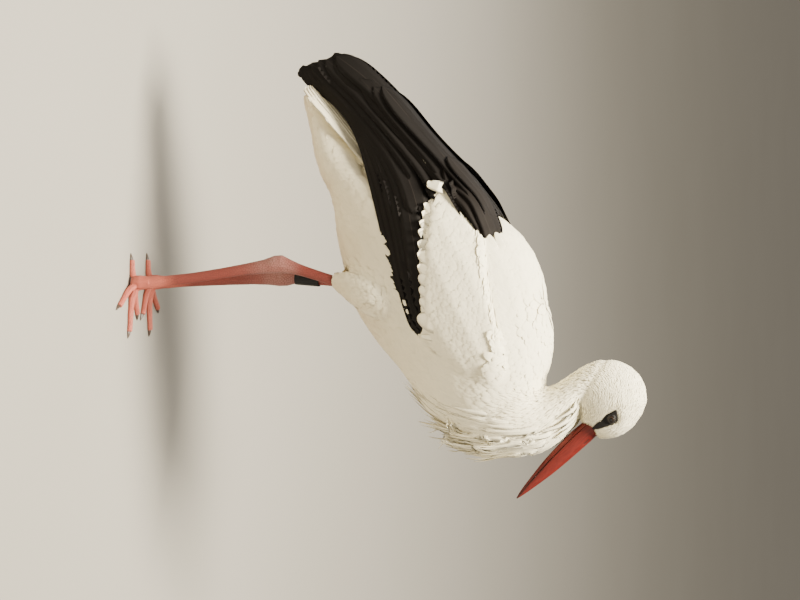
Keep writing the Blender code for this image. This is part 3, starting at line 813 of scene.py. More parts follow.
def mark_regions(mesh, points, out, lie, area, breast):
    """Gives each face of the skin the number of its piece of the coat, or -1 where it is bare or covered."""
    corners = [list(p.vertices)[:4] + [p.vertices[-1]] * (4 - len(p.vertices)) for p in mesh.polygons]
    corners = np.array(corners)
    middle = points[corners].mean(1)
    facing = out[corners].mean(1)
    kind = area[corners[:, 0]]
    region = np.choose(kind, [0, 1, 4, 5, 6]).astype(float)
    back, trunk = facing[:, 2] > 0.1, kind == TRUNK
    region[trunk & back] = REGIONS.index("back")
    region[trunk & ~back & (breast[corners[:, 0]] > 0.4)] = REGIONS.index("breast")
    region = region * 2 + (middle[:, 1] > 0)
    bill = tree_over(*BILL)
    hidden = covered(tree_over(*COVER), middle, facing, UNDER_BLACK) & (kind != HEAD)
    hidden |= covered(bill, middle, facing, UNDER_BILL)
    hidden |= np.array([bill.find_nearest(Vector(p), BY_BILL)[0] is not None for p in middle])
    upstream = middle + unit(lie[corners].mean(1)) * UPSTREAM
    bare = (bare_face(middle) > -0.0004) | (bare_face(upstream) > 0) | (gape(middle) > 0.5)
    region[hidden | (bare & (kind == HEAD))] = -1
    mesh.attributes.new("region", "FLOAT", "FACE").data.foreach_set("value", region.astype(np.float32))


# How far the faces of the unit vane stand off its middle plane. The coat gives it its true thickness.
VANE_RISE = 0.01


def vane(name, rows):
    """A feather of unit length and half width, from rows of (place along it, half width)."""
    marks, points = [(0.0, 0.0, 0.0)], [(0.0, 0.0, 0.0)]
    for along, half in rows:
        for across, side in ((-1, 0), (0, 1), (1, 0), (0, -1)):
            points.append((along, across * half, side * VANE_RISE))
            marks.append((along, across, side))
    points.append((1.0, 0.0, 0.0))
    marks.append((1.0, 0.0, 0.0))
    faces, end = [], len(points) - 1
    for row in range(len(rows)):
        for k in range(4):
            a, b = 1 + row * 4 + k, 1 + row * 4 + (k + 1) % 4
            if row == 0:
                faces.append((0, b, a))
            faces.append((a, b, b + 4, a + 4) if row < len(rows) - 1 else (a, b, end))
    thing = outward(object_of(name, points, faces))
    for k, key in enumerate(("along", "across", "side")):
        store(thing.data, key, np.array(marks)[:, k])
    rims = [all(marks[v][2] == 0 for v in edge.vertices) for edge in thing.data.edges]
    thing.data.attributes.new("sharp_edge", "BOOLEAN", "EDGE").data.foreach_set("value", rims)
    thing.hide_render = True
    return thing


def chance(tree, low, high, seed):
    """A random value for each point or face."""
    made = node(tree, "FunctionNodeRandomValue", data_type="FLOAT")
    for name, value in (("Min", low), ("Max", high), ("Seed", seed)):
        feed(tree, in_use(made.inputs, name), value)
    return in_use(made.outputs, "Value")


def keep(tree, geometry, name, value, kind="FLOAT", domain="POINT"):
    """Stores a field on a geometry as a named attribute."""
    given = {"Geometry": geometry, "Name": name}
    made = node(tree, "GeometryNodeStoreNamedAttribute", given, data_type=kind, domain=domain)
    feed(tree, in_use(made.inputs, "Value"), value)
    return made.outputs[0]


def keep_patch(tree, geometry, along, across):
    """Stores where each corner lies when materials are baked: a small patch for each feather."""
    spot = node(tree, "ShaderNodeCombineXYZ", {"X": along, "Y": across}).outputs[0]
    patch = vector_node(tree, "ADD", named(tree, "sweep", "FLOAT_VECTOR"), scaled(tree, spot, PATCH_SIZE))
    return keep(tree, geometry, "OFBake", patch, "FLOAT2", "CORNER")


def sample(tree, source, value, position):
    """The value of a vector field at the nearest point of a surface."""
    given = {"Mesh": source, "Sample Position": position}
    made = node(tree, "GeometryNodeSampleNearestSurface", given, data_type="FLOAT_VECTOR")
    feed(tree, in_use(made.inputs, "Value"), value)
    return in_use(made.outputs, "Value")


# The size of one feather's patch, and how its height over the skin grows from its root to its full lift.
PATCH_SIZE, LIFT_CURVE = 0.0015, 2.2
# Roots are thrown this many to the square of their spacing, and then thinned. Lengths vary between these
# shares.
CROWD, SIZE_RANGE = 3.5, (0.82, 1.15)


def coat_tree():
    """Small vanes scattered over one region of the skin, then laid down on it along the lie of the coat."""
    tree, given = new_tree(
        "Coat", ("Vane", "NodeSocketObject", None), ("Region", "NodeSocketFloat", 0.0),
        ("Spacing", "NodeSocketFloat", 0.005), ("Arch", "NodeSocketFloat", 0.2),
        ("Thickness", "NodeSocketFloat", 0.0002), ("Fan", "NodeSocketFloat", 0.1),
        ("Ruffle", "NodeSocketFloat", 0.0004), ("Seed", "NodeSocketInt", 1),
        ("Material", "NodeSocketMaterial", None),
    )
    skin, seed, spacing = given["Geometry"], given["Seed"], given["Spacing"]
    chosen = node(tree, "FunctionNodeCompare", {
        "A": named(tree, "region"), "B": given["Region"], "Epsilon": 0.5,
    }, data_type="FLOAT", operation="EQUAL").outputs[0]
    crowd = math_node(tree, "DIVIDE", CROWD, product(tree, spacing, spacing))
    roots = node(tree, "GeometryNodeDistributePointsOnFaces", {
        "Mesh": skin, "Selection": chosen, "Distance Min": spacing, "Density Max": crowd, "Seed": seed,
    }, distribute_method="POISSON").outputs["Points"]
    seeds = [seed] + [math_node(tree, "ADD", seed, k) for k in (1, 2, 3)]
    roots = keep(tree, roots, "tint", chance(tree, 0.0, 1.0, seeds[0]))
    roots = keep(tree, roots, "ruffle", chance(tree, -1.0, 1.0, seeds[1]))
    lie, out = named(tree, "lie", "FLOAT_VECTOR"), named(tree, "out", "FLOAT_VECTOR")
    turn = product(tree, chance(tree, -1.0, 1.0, seeds[2]), given["Fan"])
    aim = vector_node(tree, "ADD", lie, scaled(tree, vector_node(tree, "CROSS_PRODUCT", out, lie), turn))
    rotation = node(tree, "FunctionNodeAxesToRotation", {
        "Primary Axis": aim, "Secondary Axis": out,
    }, primary_axis="X", secondary_axis="Z").outputs[0]
    size = chance(tree, *SIZE_RANGE, seeds[3])
    scale = node(tree, "ShaderNodeCombineXYZ", {
        "X": product(tree, named(tree, "long"), size),
        "Y": product(tree, named(tree, "wide"), product(tree, size, 0.5)), "Z": 0.01,
    }).outputs[0]
    pattern = node(tree, "GeometryNodeObjectInfo", {"Object": given["Vane"]}).outputs["Geometry"]
    copies = node(tree, "GeometryNodeInstanceOnPoints", {
        "Points": roots, "Instance": pattern, "Rotation": rotation, "Scale": scale,
    }).outputs[0]
    vanes = node(tree, "GeometryNodeRealizeInstances", {"Geometry": copies}).outputs[0]
    along, across, side = (named(tree, key) for key in ("along", "across", "side"))
    place = node(tree, "GeometryNodeInputPosition").outputs[0]
    near = sample(tree, skin, place, place)
    up = vector_node(tree, "NORMALIZE", sample(tree, skin, out, place))
    short = math_node(tree, "POWER", math_node(tree, "SUBTRACT", 1.0, along), LIFT_CURVE)
    rise = product(tree, named(tree, "lift"), math_node(tree, "SUBTRACT", 1.0, short))
    flat = math_node(tree, "SUBTRACT", 1.0, product(tree, across, across))
    arch = product(tree, named(tree, "wide"), flat, given["Arch"])
    loose = product(tree, named(tree, "ruffle"), along, given["Ruffle"])
    height = math_node(tree, "ADD", math_node(tree, "ADD", rise, arch), loose)
    height = math_node(tree, "MULTIPLY_ADD", side, given["Thickness"], height)
    laid = node(tree, "GeometryNodeSetPosition", {
        "Geometry": vanes, "Position": vector_node(tree, "ADD", near, scaled(tree, up, height)),
    }).outputs[0]
    slant = product(tree, math_node(tree, "ABSOLUTE", across), named(tree, "wide"))
    laid = keep(tree, laid, "barb", math_node(tree, "MULTIPLY_ADD", along, named(tree, "long"), slant))
    end_tree(tree, keep_patch(tree, laid, along, across), given["Material"])
    return tree


# Vanes as rows of (place along it, half width).
BODY_VANE = ((0.10, 0.55), (0.38, 0.95), (0.68, 1.0), (0.88, 0.72), (0.97, 0.35))
HEAD_VANE = ((0.12, 0.8), (0.45, 1.0), (0.82, 0.6))
# Spacing of roots in metres, arch, fan, ruffle, and which vane, for each region of the coat.
COATS = {
    "head": (0.0019, 0.06, 0.16, 0.0002, "fine"),
    "neck": (0.0025, 0.07, 0.12, 0.0006, "fine"),
    "back": (0.0050, 0.035, 0.08, 0.0003, "broad"),
    "breast": (0.0034, 0.05, 0.10, 0.0005, "broad"),
    "belly": (0.0046, 0.05, 0.10, 0.0005, "broad"),
    "thigh": (0.0036, 0.05, 0.12, 0.0005, "broad"),
    "wing": (0.0046, 0.035, 0.06, 0.0003, "broad"),
}
# Attributes that only the making needs. The skin's material reads dark.
SKIN_MARKS = ("lie", "out", "lift", "wide", "long", "ruffle", "sweep", "across", "side", "region")
DROPPED = (*SKIN_MARKS, "dark")


def tidy_attributes(mesh, names=DROPPED):
    """Removes the attributes that a finished mesh no longer needs."""
    for name in names:
        if name in mesh.attributes:
            mesh.attributes.remove(mesh.attributes[name])


def finish_piece(thing, slot, *nodes):
    """Sets a finished piece on the frame under its body, with a slot that is not used, and hides the CAD
    nodes that it stands for.
    """
    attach(thing, "root")
    if nodes:
        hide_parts(*nodes)


def make_coat(look, skin):
    """The small feathers, as one piece for each region and side."""
    vanes = {"broad": vane("broad_vane", BODY_VANE), "fine": vane("fine_vane", HEAD_VANE)}
    material = white_feather(look)
    tree = coat_tree()
    for region, (spacing, arch, fan, ruffle, kind) in COATS.items():
        for number, (side, _) in enumerate(SIDES):
            code = REGIONS.index(region) * 2 + number
            piece = linked(f"coat_{region}_{side}", skin.data.copy())
            piece.data.materials.clear()
            add_tree(
                piece, tree, vane=vanes[kind], region=float(code), spacing=spacing, arch=arch, fan=fan,
                ruffle=ruffle, seed=10 + code, material=material,
            )
            piece = plain(piece)
            tidy_attributes(piece.data)
            finish_piece(piece, "white_plumage")
    discard(*vanes.values())


# ---------------------------------------------------------------- guided feathers


STRAND_MARKS = ("out", "half", "along", "tint", "stain", "sweep", "long")


class Strands:
    """Guide lines, each of which becomes one feather swept along it."""

    def __init__(self):
        self.points, self.edges = [], []
        self.marks = {key: [] for key in STRAND_MARKS}

    def add(self, line, out, half, tint, stain, spot):
        """One feather: its shaft's points, which way its upper face looks, and its half widths."""
        line = np.asarray(line, float)
        count, start = len(line), sum(len(part) for part in self.points)
        length = np.linalg.norm(np.diff(line, axis=0), axis=1).sum()
        rows = {
            "out": np.broadcast_to(out, (count, 3)), "half": half, "along": np.linspace(0, 1, count),
            "tint": np.full(count, tint), "stain": np.full(count, stain), "long": np.full(count, length),
            "sweep": np.broadcast_to((*spot, 0.0), (count, 3)),
        }
        self.points.append(line)
        self.edges += [(start + k, start + k + 1) for k in range(count - 1)]
        for key, values in rows.items():
            self.marks[key].append(values)

    def build(self, name, profile, material):
        """All the feathers as one finished mesh."""
        mesh = bpy.data.meshes.new(name)
        mesh.from_pydata([tuple(p) for p in np.concatenate(self.points)], self.edges, [])
        for key, values in self.marks.items():
            store(mesh, key, np.concatenate(values))
        thing = linked(name, mesh)
        add_tree(thing, sweep_tree(), profile=profile, material=material)
        thing = plain(thing)
        tidy_attributes(thing.data, DROPPED + ("half",))
        return thing


# The half width of a feather's shaft, as a share of the feather's own.
SHAFT_HALF = 0.05


def profile_of(name, across, arch, thickness, rachis):
    """A feather's cross-section at unit half width: a thin arched blade with a shaft along it."""
    across = np.array(across)
    bow, thick = arch * (1 - across**2), thickness * (1 - np.abs(across))
    top, under = bow + thick + rachis * (np.abs(across) < SHAFT_HALF), bow - thick * 0.5
    # A swept profile's X axis follows the curve's normal, which is the way that the feather faces.
    points = [(height, x, 0.0) for x, height in zip(across, top)]
    points += [(height, x, 0.0) for x, height in zip(across[-2:0:-1], under[-2:0:-1])]
    mesh = bpy.data.meshes.new(name)
    mesh.from_pydata(points, [(k, (k + 1) % len(points)) for k in range(len(points))], [])
    store(mesh, "across", [x for _, x, _ in points])
    thing = linked(name, mesh)
    thing.hide_render = True
    return thing


# How far barbs slant for their distance from the shaft, and how fast the shaft's tone fades across the
# blade.
BARB_SLANT, SHAFT_FADE = 1.2, 14.0


def sweep_tree():
    """A blade swept along each guide line, as wide as the line says and facing the way that it says."""
    tree, given = new_tree(
        "Sweep", ("Profile", "NodeSocketObject", None), ("Material", "NodeSocketMaterial", None),
    )
    line = node(tree, "GeometryNodeMeshToCurve", {"Mesh": given["Geometry"]}).outputs[0]
    turned = node(tree, "GeometryNodeSetCurveNormal", {
        "Curve": line, "Normal": named(tree, "out", "FLOAT_VECTOR"),
    }, mode="FREE").outputs[0]
    shape = node(tree, "GeometryNodeObjectInfo", {"Object": given["Profile"]}).outputs["Geometry"]
    ring = node(tree, "GeometryNodeMeshToCurve", {"Mesh": shape}).outputs[0]
    swept = node(tree, "GeometryNodeCurveToMesh", {
        "Curve": turned, "Profile Curve": ring, "Scale": named(tree, "half"), "Fill Caps": True,
    }).outputs[0]
    smooth = node(tree, "GeometryNodeSetShadeSmooth", {"Geometry": swept}).outputs[0]
    along, across = named(tree, "along"), named(tree, "across")
    reach = math_node(tree, "ABSOLUTE", across)
    slant = product(tree, reach, named(tree, "half"), BARB_SLANT)
    smooth = keep(tree, smooth, "barb", math_node(tree, "MULTIPLY_ADD", along, named(tree, "long"), slant))
    smooth = keep(tree, smooth, "edge", reach)
    thin = math_node(tree, "SUBTRACT", 1.0, product(tree, reach, SHAFT_FADE))
    smooth = keep(tree, smooth, "shaft", math_node(tree, "MAXIMUM", thin, 0.0))
    end_tree(tree, keep_patch(tree, smooth, along, across), given["Material"])
    return tree


def blade(count, half, root, tip, least=0.06, point=0.5):
    """Half widths along a feather: it opens from its root, stays even, and closes to a rounded tip."""
    t = np.linspace(0, 1, count)
    opening = np.clip(t / root, 0, 1) ** 0.6
    closing = np.clip((1 - t) / tip, 0, 1)
    closing = (1 - (1 - closing) ** 2) ** point
    return half * np.maximum(opening * closing, least)


def evened(rows, rounds):
    """Rows of points averaged with their neighbours, with the first and last kept."""
    for _ in range(rounds):
        rows[1:-1] = (rows[:-2] + 2 * rows[1:-1] + rows[2:]) / 4
    return rows


# A line that misses the solid is looked for below, in steps of so many metres down to so many. Lines are
# cast from beside the bird, and otherwise take the nearest point to one that lies inside it.
DROP_STEP, DROP_MOST, BESIDE, WITHIN = 0.0015, 0.06, 0.3, 0.05


def laid_path(tree, line, side, lift, rounds):
    """A line of x and z laid on the side of a solid and raised off it, and the way that it faces."""
    points, normals = [], []
    inward = Vector((0, -side, 0))
    for x, z in line:
        for drop in np.arange(0, DROP_MOST, DROP_STEP):
            hit, normal, _, _ = tree.ray_cast(Vector((x, side * BESIDE, z - drop)), inward)
            if hit is not None:
                break
        else:
            hit, normal, _, _ = tree.find_nearest(Vector((x, side * WITHIN, z)))
        points.append(hit)
        normals.append(normal)
    points, normals = evened(np.array(points), rounds), unit(evened(np.array(normals), rounds))
    return points + normals * np.asarray(lift).reshape(-1, 1), normals


def tree_of(*things):
    """A surface to lay feathers on, from finished meshes."""
    points, faces, start = [], [], 0
    for thing in things:
        co, _ = arrays_of(thing.data)
        points.append(co)
        faces += [[v + start for v in p.vertices] for p in thing.data.polygons]
        start += len(co)
    return BVHTree.FromPolygons([Vector(p) for p in np.concatenate(points)], faces)


# ---------------------------------------------------------------- wings

# Lines along the folded wing from front to tip, as shares of the length and height of its flight feathers:
# its upper edge, the lower edge of the tertials, the upper edge of the black band, and its lower edge.
RAILS = (
    (
        (0.72, 1.262), (0.559, 1.20), (0.474, 1.105), (0.38, 0.955), (0.264, 0.772),
        (0.101, 0.575), (0.0, 0.36), (-0.02, 0.25),
    ),
    (
        (0.74, 1.20), (0.60, 1.08), (0.526, 0.99), (0.44, 0.90), (0.34, 0.755),
        (0.215, 0.59), (0.08, 0.385), (0.004, 0.21),
    ),
    (
        (1.06, 0.93), (0.836, 0.86), (0.679, 0.83), (0.539, 0.79), (0.44, 0.72),
        (0.34, 0.62), (0.215, 0.47), (0.105, 0.30), (0.03, 0.10),
    ),
    (
        (1.04, 0.86), (0.90, 0.745), (0.755, 0.695), (0.572, 0.615), (0.414, 0.55),
        (0.283, 0.475), (0.201, 0.395), (0.129, 0.27), (0.057, 0.03),
    ),
)


# How many points each rail has, and each tip line and feather.
LINE_POINTS, FEATHER_STATIONS = 60, 40


class WingRails:
    """Smooth lines from the front of a folded wing to its tip, between which its feathers lie."""

    def __init__(self, side_name):
        corner, size = side_box(f"wing_{side_name}_quills")
        self.rails = [spline(np.array(rail) * size + corner, LINE_POINTS) for rail in RAILS]

    def at(self, level, share):
        """Points at shares of the way along a level, where 0 is the upper edge and 3 the lower."""
        k = min(int(level), len(RAILS) - 2)
        f = level - k
        line = self.rails[k] * (1 - f) + self.rails[k + 1] * f
        place = np.asarray(share) * (LINE_POINTS - 1)
        i = np.clip(place.astype(int), 0, LINE_POINTS - 2)
        g = (place - i)[:, None]
        return line[i] * (1 - g) + line[i + 1] * g


# For each set of flight feathers: how many, level of the first, level of the last, share of the way along
# where the first and last start, and where they end, half width, and how far the first and last stand off
# what they lie on.
FLIGHT = (
    (6, 2.88, 2.05, (0.30, 0.30), (0.985, 0.93), 0.0165, (0.0020, 0.0034)),
    (5, 2.88, 2.12, (0.0, 0.04), (0.62, 0.80), 0.0165, (0.0052, 0.0064)),
    (5, 1.85, 0.55, (0.30, 0.26), (0.97, 0.92), 0.0190, (0.0054, 0.0068)),
    (3, 0.80, 0.42, (0.06, 0.10), (0.80, 0.72), 0.0190, (0.0084, 0.0094)),
    (3, 0.70, 0.36, (0.03, 0.03), (0.37, 0.42), 0.0150, (0.0108, 0.0120)),
)
# Rows of feathers over the folded wing. For each: their tone, how many, the line of their tips as shares
# of the flight feathers' box, degrees below level at which the first and the last point, length, half
# width, how far their middle and their tip stand off what they lie on, and the share of their length over
# which they close to a tip.
ROWS = (
    # This row is darkened as painted shade, and shows as dark wedges between the white lobes of the row after
    # it.
    ("painted_shade", 11, ((0.542, 0.880), (0.640, 0.850), (0.742, 0.846), (0.886, 0.852)),
     (60, 66), 0.036, 0.0100, (0.0030, 0.0088), 0.35),
    ("white", 10, ((0.554, 0.860), (0.650, 0.840), (0.770, 0.840), (0.886, 0.847)),
     (58, 64), 0.040, 0.0108, (0.0032, 0.0098), 0.45),
    ("white", 1, ((0.946, 0.832),), (70, 70), 0.048, 0.0150, (0.0036, 0.0100), 0.6),
    ("white", 2, ((1.014, 0.846), (0.996, 0.780)), (82, 56), 0.040, 0.0048, (0.0036, 0.0095), 0.4),
    ("white", 1, ((0.476, 0.872),), (68, 68), 0.036, 0.0105, (0.0150, 0.0150), 0.8),
    ("white", 3, ((0.598, 1.222), (0.652, 1.228), (0.656, 1.186)),
     (22, 30), 0.046, 0.0070, (0.0100, 0.0145), 0.45),
    ("white", 1, ((0.266, 0.779),), (43, 43), 0.048, 0.0022, (0.0130, 0.0130), 0.5),
    ("white", 1, ((0.378, 0.844),), (55, 55), 0.0115, 0.0005, (0.0110, 0.0110), 0.5),
    ("white", 1, ((0.393, 0.827),), (37, 37), 0.0155, 0.0008, (0.0110, 0.0110), 0.5),
)
# The tint that the white feathers' material takes for each tone; painted_shade darkens its row as painted
# shade.
TINTS = {"white": 0.5, "painted_shade": -8.0}
# How far each flight feather leans, so that its upper edge lies under the next one.
SHINGLE = 0.11
# Rounds of smoothing on the path of a flight feather and of one that lies over the wing.
FLIGHT_ROUNDS, ROW_ROUNDS = 30, 40
# The share of a flight feather's lift that it has at some shares of its length, past a root that is sunk.
FLIGHT_RISE, FLIGHT_LIFTS, SUNK = (0.0, 0.03, 0.10, 1.0), (0.4, 0.9, 1.0), 0.001
# Flight feathers that end before this share of the way are the most worn, and take the most painted brown
# sheen.
SHORT_END = 0.5
# A feather over the wing may drop this much from its middle to its tip, in metres for its whole length.
TIP_DROP, TIP_OUTWARD = 0.004, 0.5


def between(ends, share):
    return ends[0] + (ends[1] - ends[0]) * share


def lay_flight(strands, rails, ground, side, rng):
    """The long flight feathers, from the lower edge of the wing to the upper."""
    t = np.linspace(0, 1, FEATHER_STATIONS)
    for count, first, last, starts, ends, half, lifts in FLIGHT:
        for f in np.linspace(0, 1, count):
            level = between((first, last), f) + rng.uniform(-0.03, 0.03)
            begin, end = between(starts, f), between(ends, f) + rng.uniform(-0.012, 0.012)
            lift = between(lifts, f)
            raised = np.interp(t, FLIGHT_RISE, (-SUNK, *(share * lift for share in FLIGHT_LIFTS)))
            line = rails.at(level, begin + (end - begin) * t)
            path, out = laid_path(ground, line, side, raised, FLIGHT_ROUNDS)
            upward = unit(np.cross(out, np.gradient(path, axis=0)))
            out = unit(out + SHINGLE * upward * np.sign(upward[:, 2:].sum()))
            widths = blade(FEATHER_STATIONS, half, 0.08, 0.16)
            # Wear, with painted brown sheen on the short upper feathers.
            worn = rng.uniform(0.4, 0.7) if ends[0] < SHORT_END else rng.uniform(0, 0.3)
            strands.add(path, out, widths, rng.uniform(), worn, (0.1 + 0.8 * f, level / 3))


def lay_row(strands, row, corner, size, ground, side, rng):
    """One row of the feathers that lie over the folded wing."""
    tone, count, tips, angles, length, half, (body_height, tip_height), closing = row
    t = np.linspace(0, 1, FEATHER_STATIONS)
    middle = FEATHER_STATIONS // 2
    tips = spline(tips, LINE_POINTS) if len(tips) > 1 else np.array(tips)
    for f in np.linspace(0, 1, count):
        tip = corner + size * tips[int(f * (len(tips) - 1))]
        dip = math.radians(between(angles, f) + rng.uniform(-2, 2))
        reach = length * rng.uniform(0.97, 1.03)
        line = tip + np.outer(1 - t, (math.cos(dip), math.sin(dip))) * reach
        raised = np.interp(t, (0, 0.2, 0.45, 1), (-2 * SUNK, 0.35 * body_height, body_height, tip_height))
        path, out = laid_path(ground, line, side, 0.0, ROW_ROUNDS)
        off = side * path[:, 1] + raised
        level = off[middle] - TIP_DROP * np.clip(t - 0.5, 0, 1)
        path[:, 1] = side * np.where(t > 0.5, np.maximum(off, level), off)
        out = unit(out[:middle].mean(0) + side * TIP_OUTWARD * ACROSS)
        widths = blade(FEATHER_STATIONS, half * rng.uniform(0.95, 1.05), 0.25, closing)
        strands.add(path, out, widths, TINTS[tone], rng.uniform(0, 0.2), (0.1 + 0.8 * f, 0.5))


# The bed under the flight feathers: the size of its faces, its rounds of smoothing, and how far it is
# drawn in.
BED_VOXEL, BED_ROUNDS, BED_DRAWN = 0.003, 14, 0.003


def make_wings(look, skin):
    """The black flight feathers of both folded wings over a dark bed, and the rows of feathers over them."""
    black, white = black_feather(look), white_feather(look)
    quill = profile_of("quill_profile", (-1, -0.55, -0.06, 0, 0.06, 0.55, 1), 0.02, 0.012, 0.008)
    covert = profile_of("covert_profile", (-1, -0.6, -0.25, 0, 0.25, 0.6, 1), 0.07, 0.02, 0.0)
    rng = np.random.default_rng(5)
    for name, side in SIDES:
        nodes = (f"wing_{name}_quills", f"wing_{name}_tertials")
        bed = smooth_copy(f"wing_{name}_bed", nodes, black, OVERLAP, BED_VOXEL, BED_ROUNDS, BED_DRAWN)
        finish_piece(bed, "black_plumage", *nodes)
        ground = tree_of(bed, skin)
        dark, pale = Strands(), Strands()
        lay_flight(dark, WingRails(name), ground, side, rng)
        for row in ROWS:
            lay_row(pale, row, *side_box(nodes[0]), ground, side, rng)
        finish_piece(dark.build(f"wing_{name}_feathers", quill, black), "black_plumage")
        finish_piece(pale.build(f"wing_{name}_edging", covert, white), "white_plumage")
    discard(quill, covert)


# ---------------------------------------------------------------- tail


TAIL_FEATHERS, TAIL_STATIONS, TAIL_HALF = 12, 22, 0.0100
# How much shorter the outermost feather is, and how far each lies under the one nearer the middle.
TAIL_TAPER, TAIL_STEP = 0.06, 0.0015
# A slice's middle lies this near the middle plane, and its edge beyond this share of its half width.
TAIL_MIDDLE, TAIL_EDGE = 0.012, 0.8
# The feathers' shafts keep this far in from the edge, down to a least spread, and lean over by this much
# at most.
TAIL_INSET, TAIL_LEAST, TAIL_LEAN = 0.010, 0.006, 1.2


def tail_sections():
    """x, middle height, half width and sag at the edge of the tail's plate, from root to tip."""
    low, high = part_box("tail")
    rows = []
    for share in np.linspace(0.02, 0.995, TAIL_STATIONS):
        x = high.x + (low.x - high.x) * share
        cut = slice_points(["tail"], (x, 0, 0), (1, 0, 0))
        away = np.abs(cut[:, 1])
        middle = cut[away < TAIL_MIDDLE, 2].mean()
        rows.append((x, middle, away.max(), middle - cut[away > away.max() * TAIL_EDGE, 2].mean()))
    return np.array(rows).T


def make_tail(look):
    """The white tail feathers, folded over each other, which stand for the tail's solid plate."""
    profile = profile_of("tail_profile", (-1, -0.5, 0, 0.5, 1), 0.12, 0.02, 0.0)
    strands = Strands()
    rng = np.random.default_rng(8)
    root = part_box("tail")[1].x
    place, height, half_width, sag = tail_sections()
    span = np.maximum(half_width - TAIL_INSET, TAIL_LEAST)
    middle = (TAIL_FEATHERS - 1) / 2
    for k in range(TAIL_FEATHERS):
        across = (k - middle) / middle
        x = root + (place - root) * (1 - TAIL_TAPER * abs(across))
        z = height - sag * across**2 + TAIL_STEP - TAIL_STEP * abs(across)
        line = np.stack([x, across * span, z], 1)
        away = unit(line[-1] - line[0])
        lean = np.clip(2 * sag * across / span, -TAIL_LEAN, TAIL_LEAN)
        out = unit(np.stack([np.full(TAIL_STATIONS, away[2]), lean, np.full(TAIL_STATIONS, -away[0])], 1))
        widths = blade(TAIL_STATIONS, TAIL_HALF, 0.05, 0.14)
        tint, stain = rng.uniform(), 0.1 + 0.2 * rng.uniform()
        strands.add(line, out, widths, tint, stain, (0.5 + 0.4 * across, 0.5))
    finish_piece(strands.build("tail_feathers", profile, white_feather(look)), "white_plumage", "tail")
    discard(profile)


# ---------------------------------------------------------------- plumes


class Hide:
    """The finished skin as a surface to walk over, with the way that its feathers lie on it."""

    def __init__(self, skin):
        mesh = skin.data
        self.points, self.normals = arrays_of(mesh)
        self.faces = [list(p.vertices) for p in mesh.polygons]
        self.tree = BVHTree.FromPolygons([Vector(p) for p in self.points], self.faces)
        self.lie = self.read(mesh, "lie", 3)
        self.sweep = self.read(mesh, "sweep", 3)
        self.stain = self.read(mesh, "stain", 1)[:, 0]

    @staticmethod
    def read(mesh, name, width):
        values = np.empty(len(mesh.vertices) * width, np.float32)
        mesh.attributes[name].data.foreach_get("vector" if width == 3 else "value", values)
        return values.reshape(-1, width).astype(float)

    def near(self, place):
        """The nearest point of the skin, its normal, and one of its corners."""
        hit, normal, face, _ = self.tree.find_nearest(Vector(place))
        return np.array(hit), np.array(normal), self.faces[face][0]

    def walk(self, start, length, count, drift):
        """A path of even steps over the skin, following the lie of the coat."""
        place, normal, corner = self.near(start)
        path, normals = [place], [normal]
        for _ in range(count - 1):
            aim = unit(self.lie[corner] + np.asarray(drift))
            place, normal, corner = self.near(place + aim * length / (count - 1))
            path.append(place)
            normals.append(normal)
        return np.array(path), unit(np.array(normals))


PLUME_STATIONS = 13
# Sets of plumes, from the throat to the lower breast: how many, height range of the roots as shares of
# the neck's height, how far round to the side they grow, length, how far their tips stand off, how far
# they hang down.
PLUMES = (
    (130, (0.60, 0.90), 0.50, (0.040, 0.060), 0.009, 0.006),
    (190, (0.38, 0.68), 0.30, (0.060, 0.090), 0.022, 0.016),
    (150, (0.12, 0.46), 0.15, (0.055, 0.085), 0.020, 0.022),
)


# A plume grows this far from the bill or more, and one whose path curls up below this share of its length
# is left out.
BILL_CLEAR, STRAIGHT = 0.025, 0.88
# How much plumes turn down, and how far they stray to a side.
PLUME_DOWN, PLUME_STRAY = -0.45, 0.12
# The three blades of a tuft: which side each is on, and its half width. They start this far apart.
TUFT, TUFT_SPREAD = ((-1, 0.0032), (0, 0.0050), (1, 0.0032)), 0.0034
# Height of a plume over the skin at some shares of its length.
PLUME_AT, PLUME_HEIGHTS = (0, 0.12, 0.3, 1), (0.001, 0.0042, 0.0060, 0.0060)


def add_tuft(strands, hide, root, path, out, stand, hang, rng):
    """One plume as a tuft of three blades along a path. Those that face forward stand and hang looser."""
    t = np.linspace(0, 1, PLUME_STATIONS)
    loose = rng.uniform(0.1, 1.0) * (0.12 + 0.88 * float(ease(hide.normals[root, 0], 0.6, 0.97)))
    height = np.interp(t, PLUME_AT, PLUME_HEIGHTS) + stand * loose * t**2
    across = unit(np.cross(out, np.gradient(path, axis=0)))
    for place, half in TUFT:
        fan = place * TUFT_SPREAD * (1.0 - 0.85 * t) + rng.uniform(-0.001, 0.001) * t**2
        line = path + out * (height + rng.uniform(-0.0004, 0.0004))[:, None] + across * fan[:, None]
        line[:, 2] -= hang * loose * t**2.2
        widths = blade(PLUME_STATIONS, half * rng.uniform(0.85, 1.15), 0.12, 0.85, 0.05, 1.0)
        facing = unit(out + across * rng.normal(0, 0.6 * loose))
        # Each plume takes part of the skin's stain, partly soiling and partly painted warm shade.
        strands.add(line, facing, widths, rng.uniform(), 0.6 * hide.stain[root], hide.sweep[root][:2])


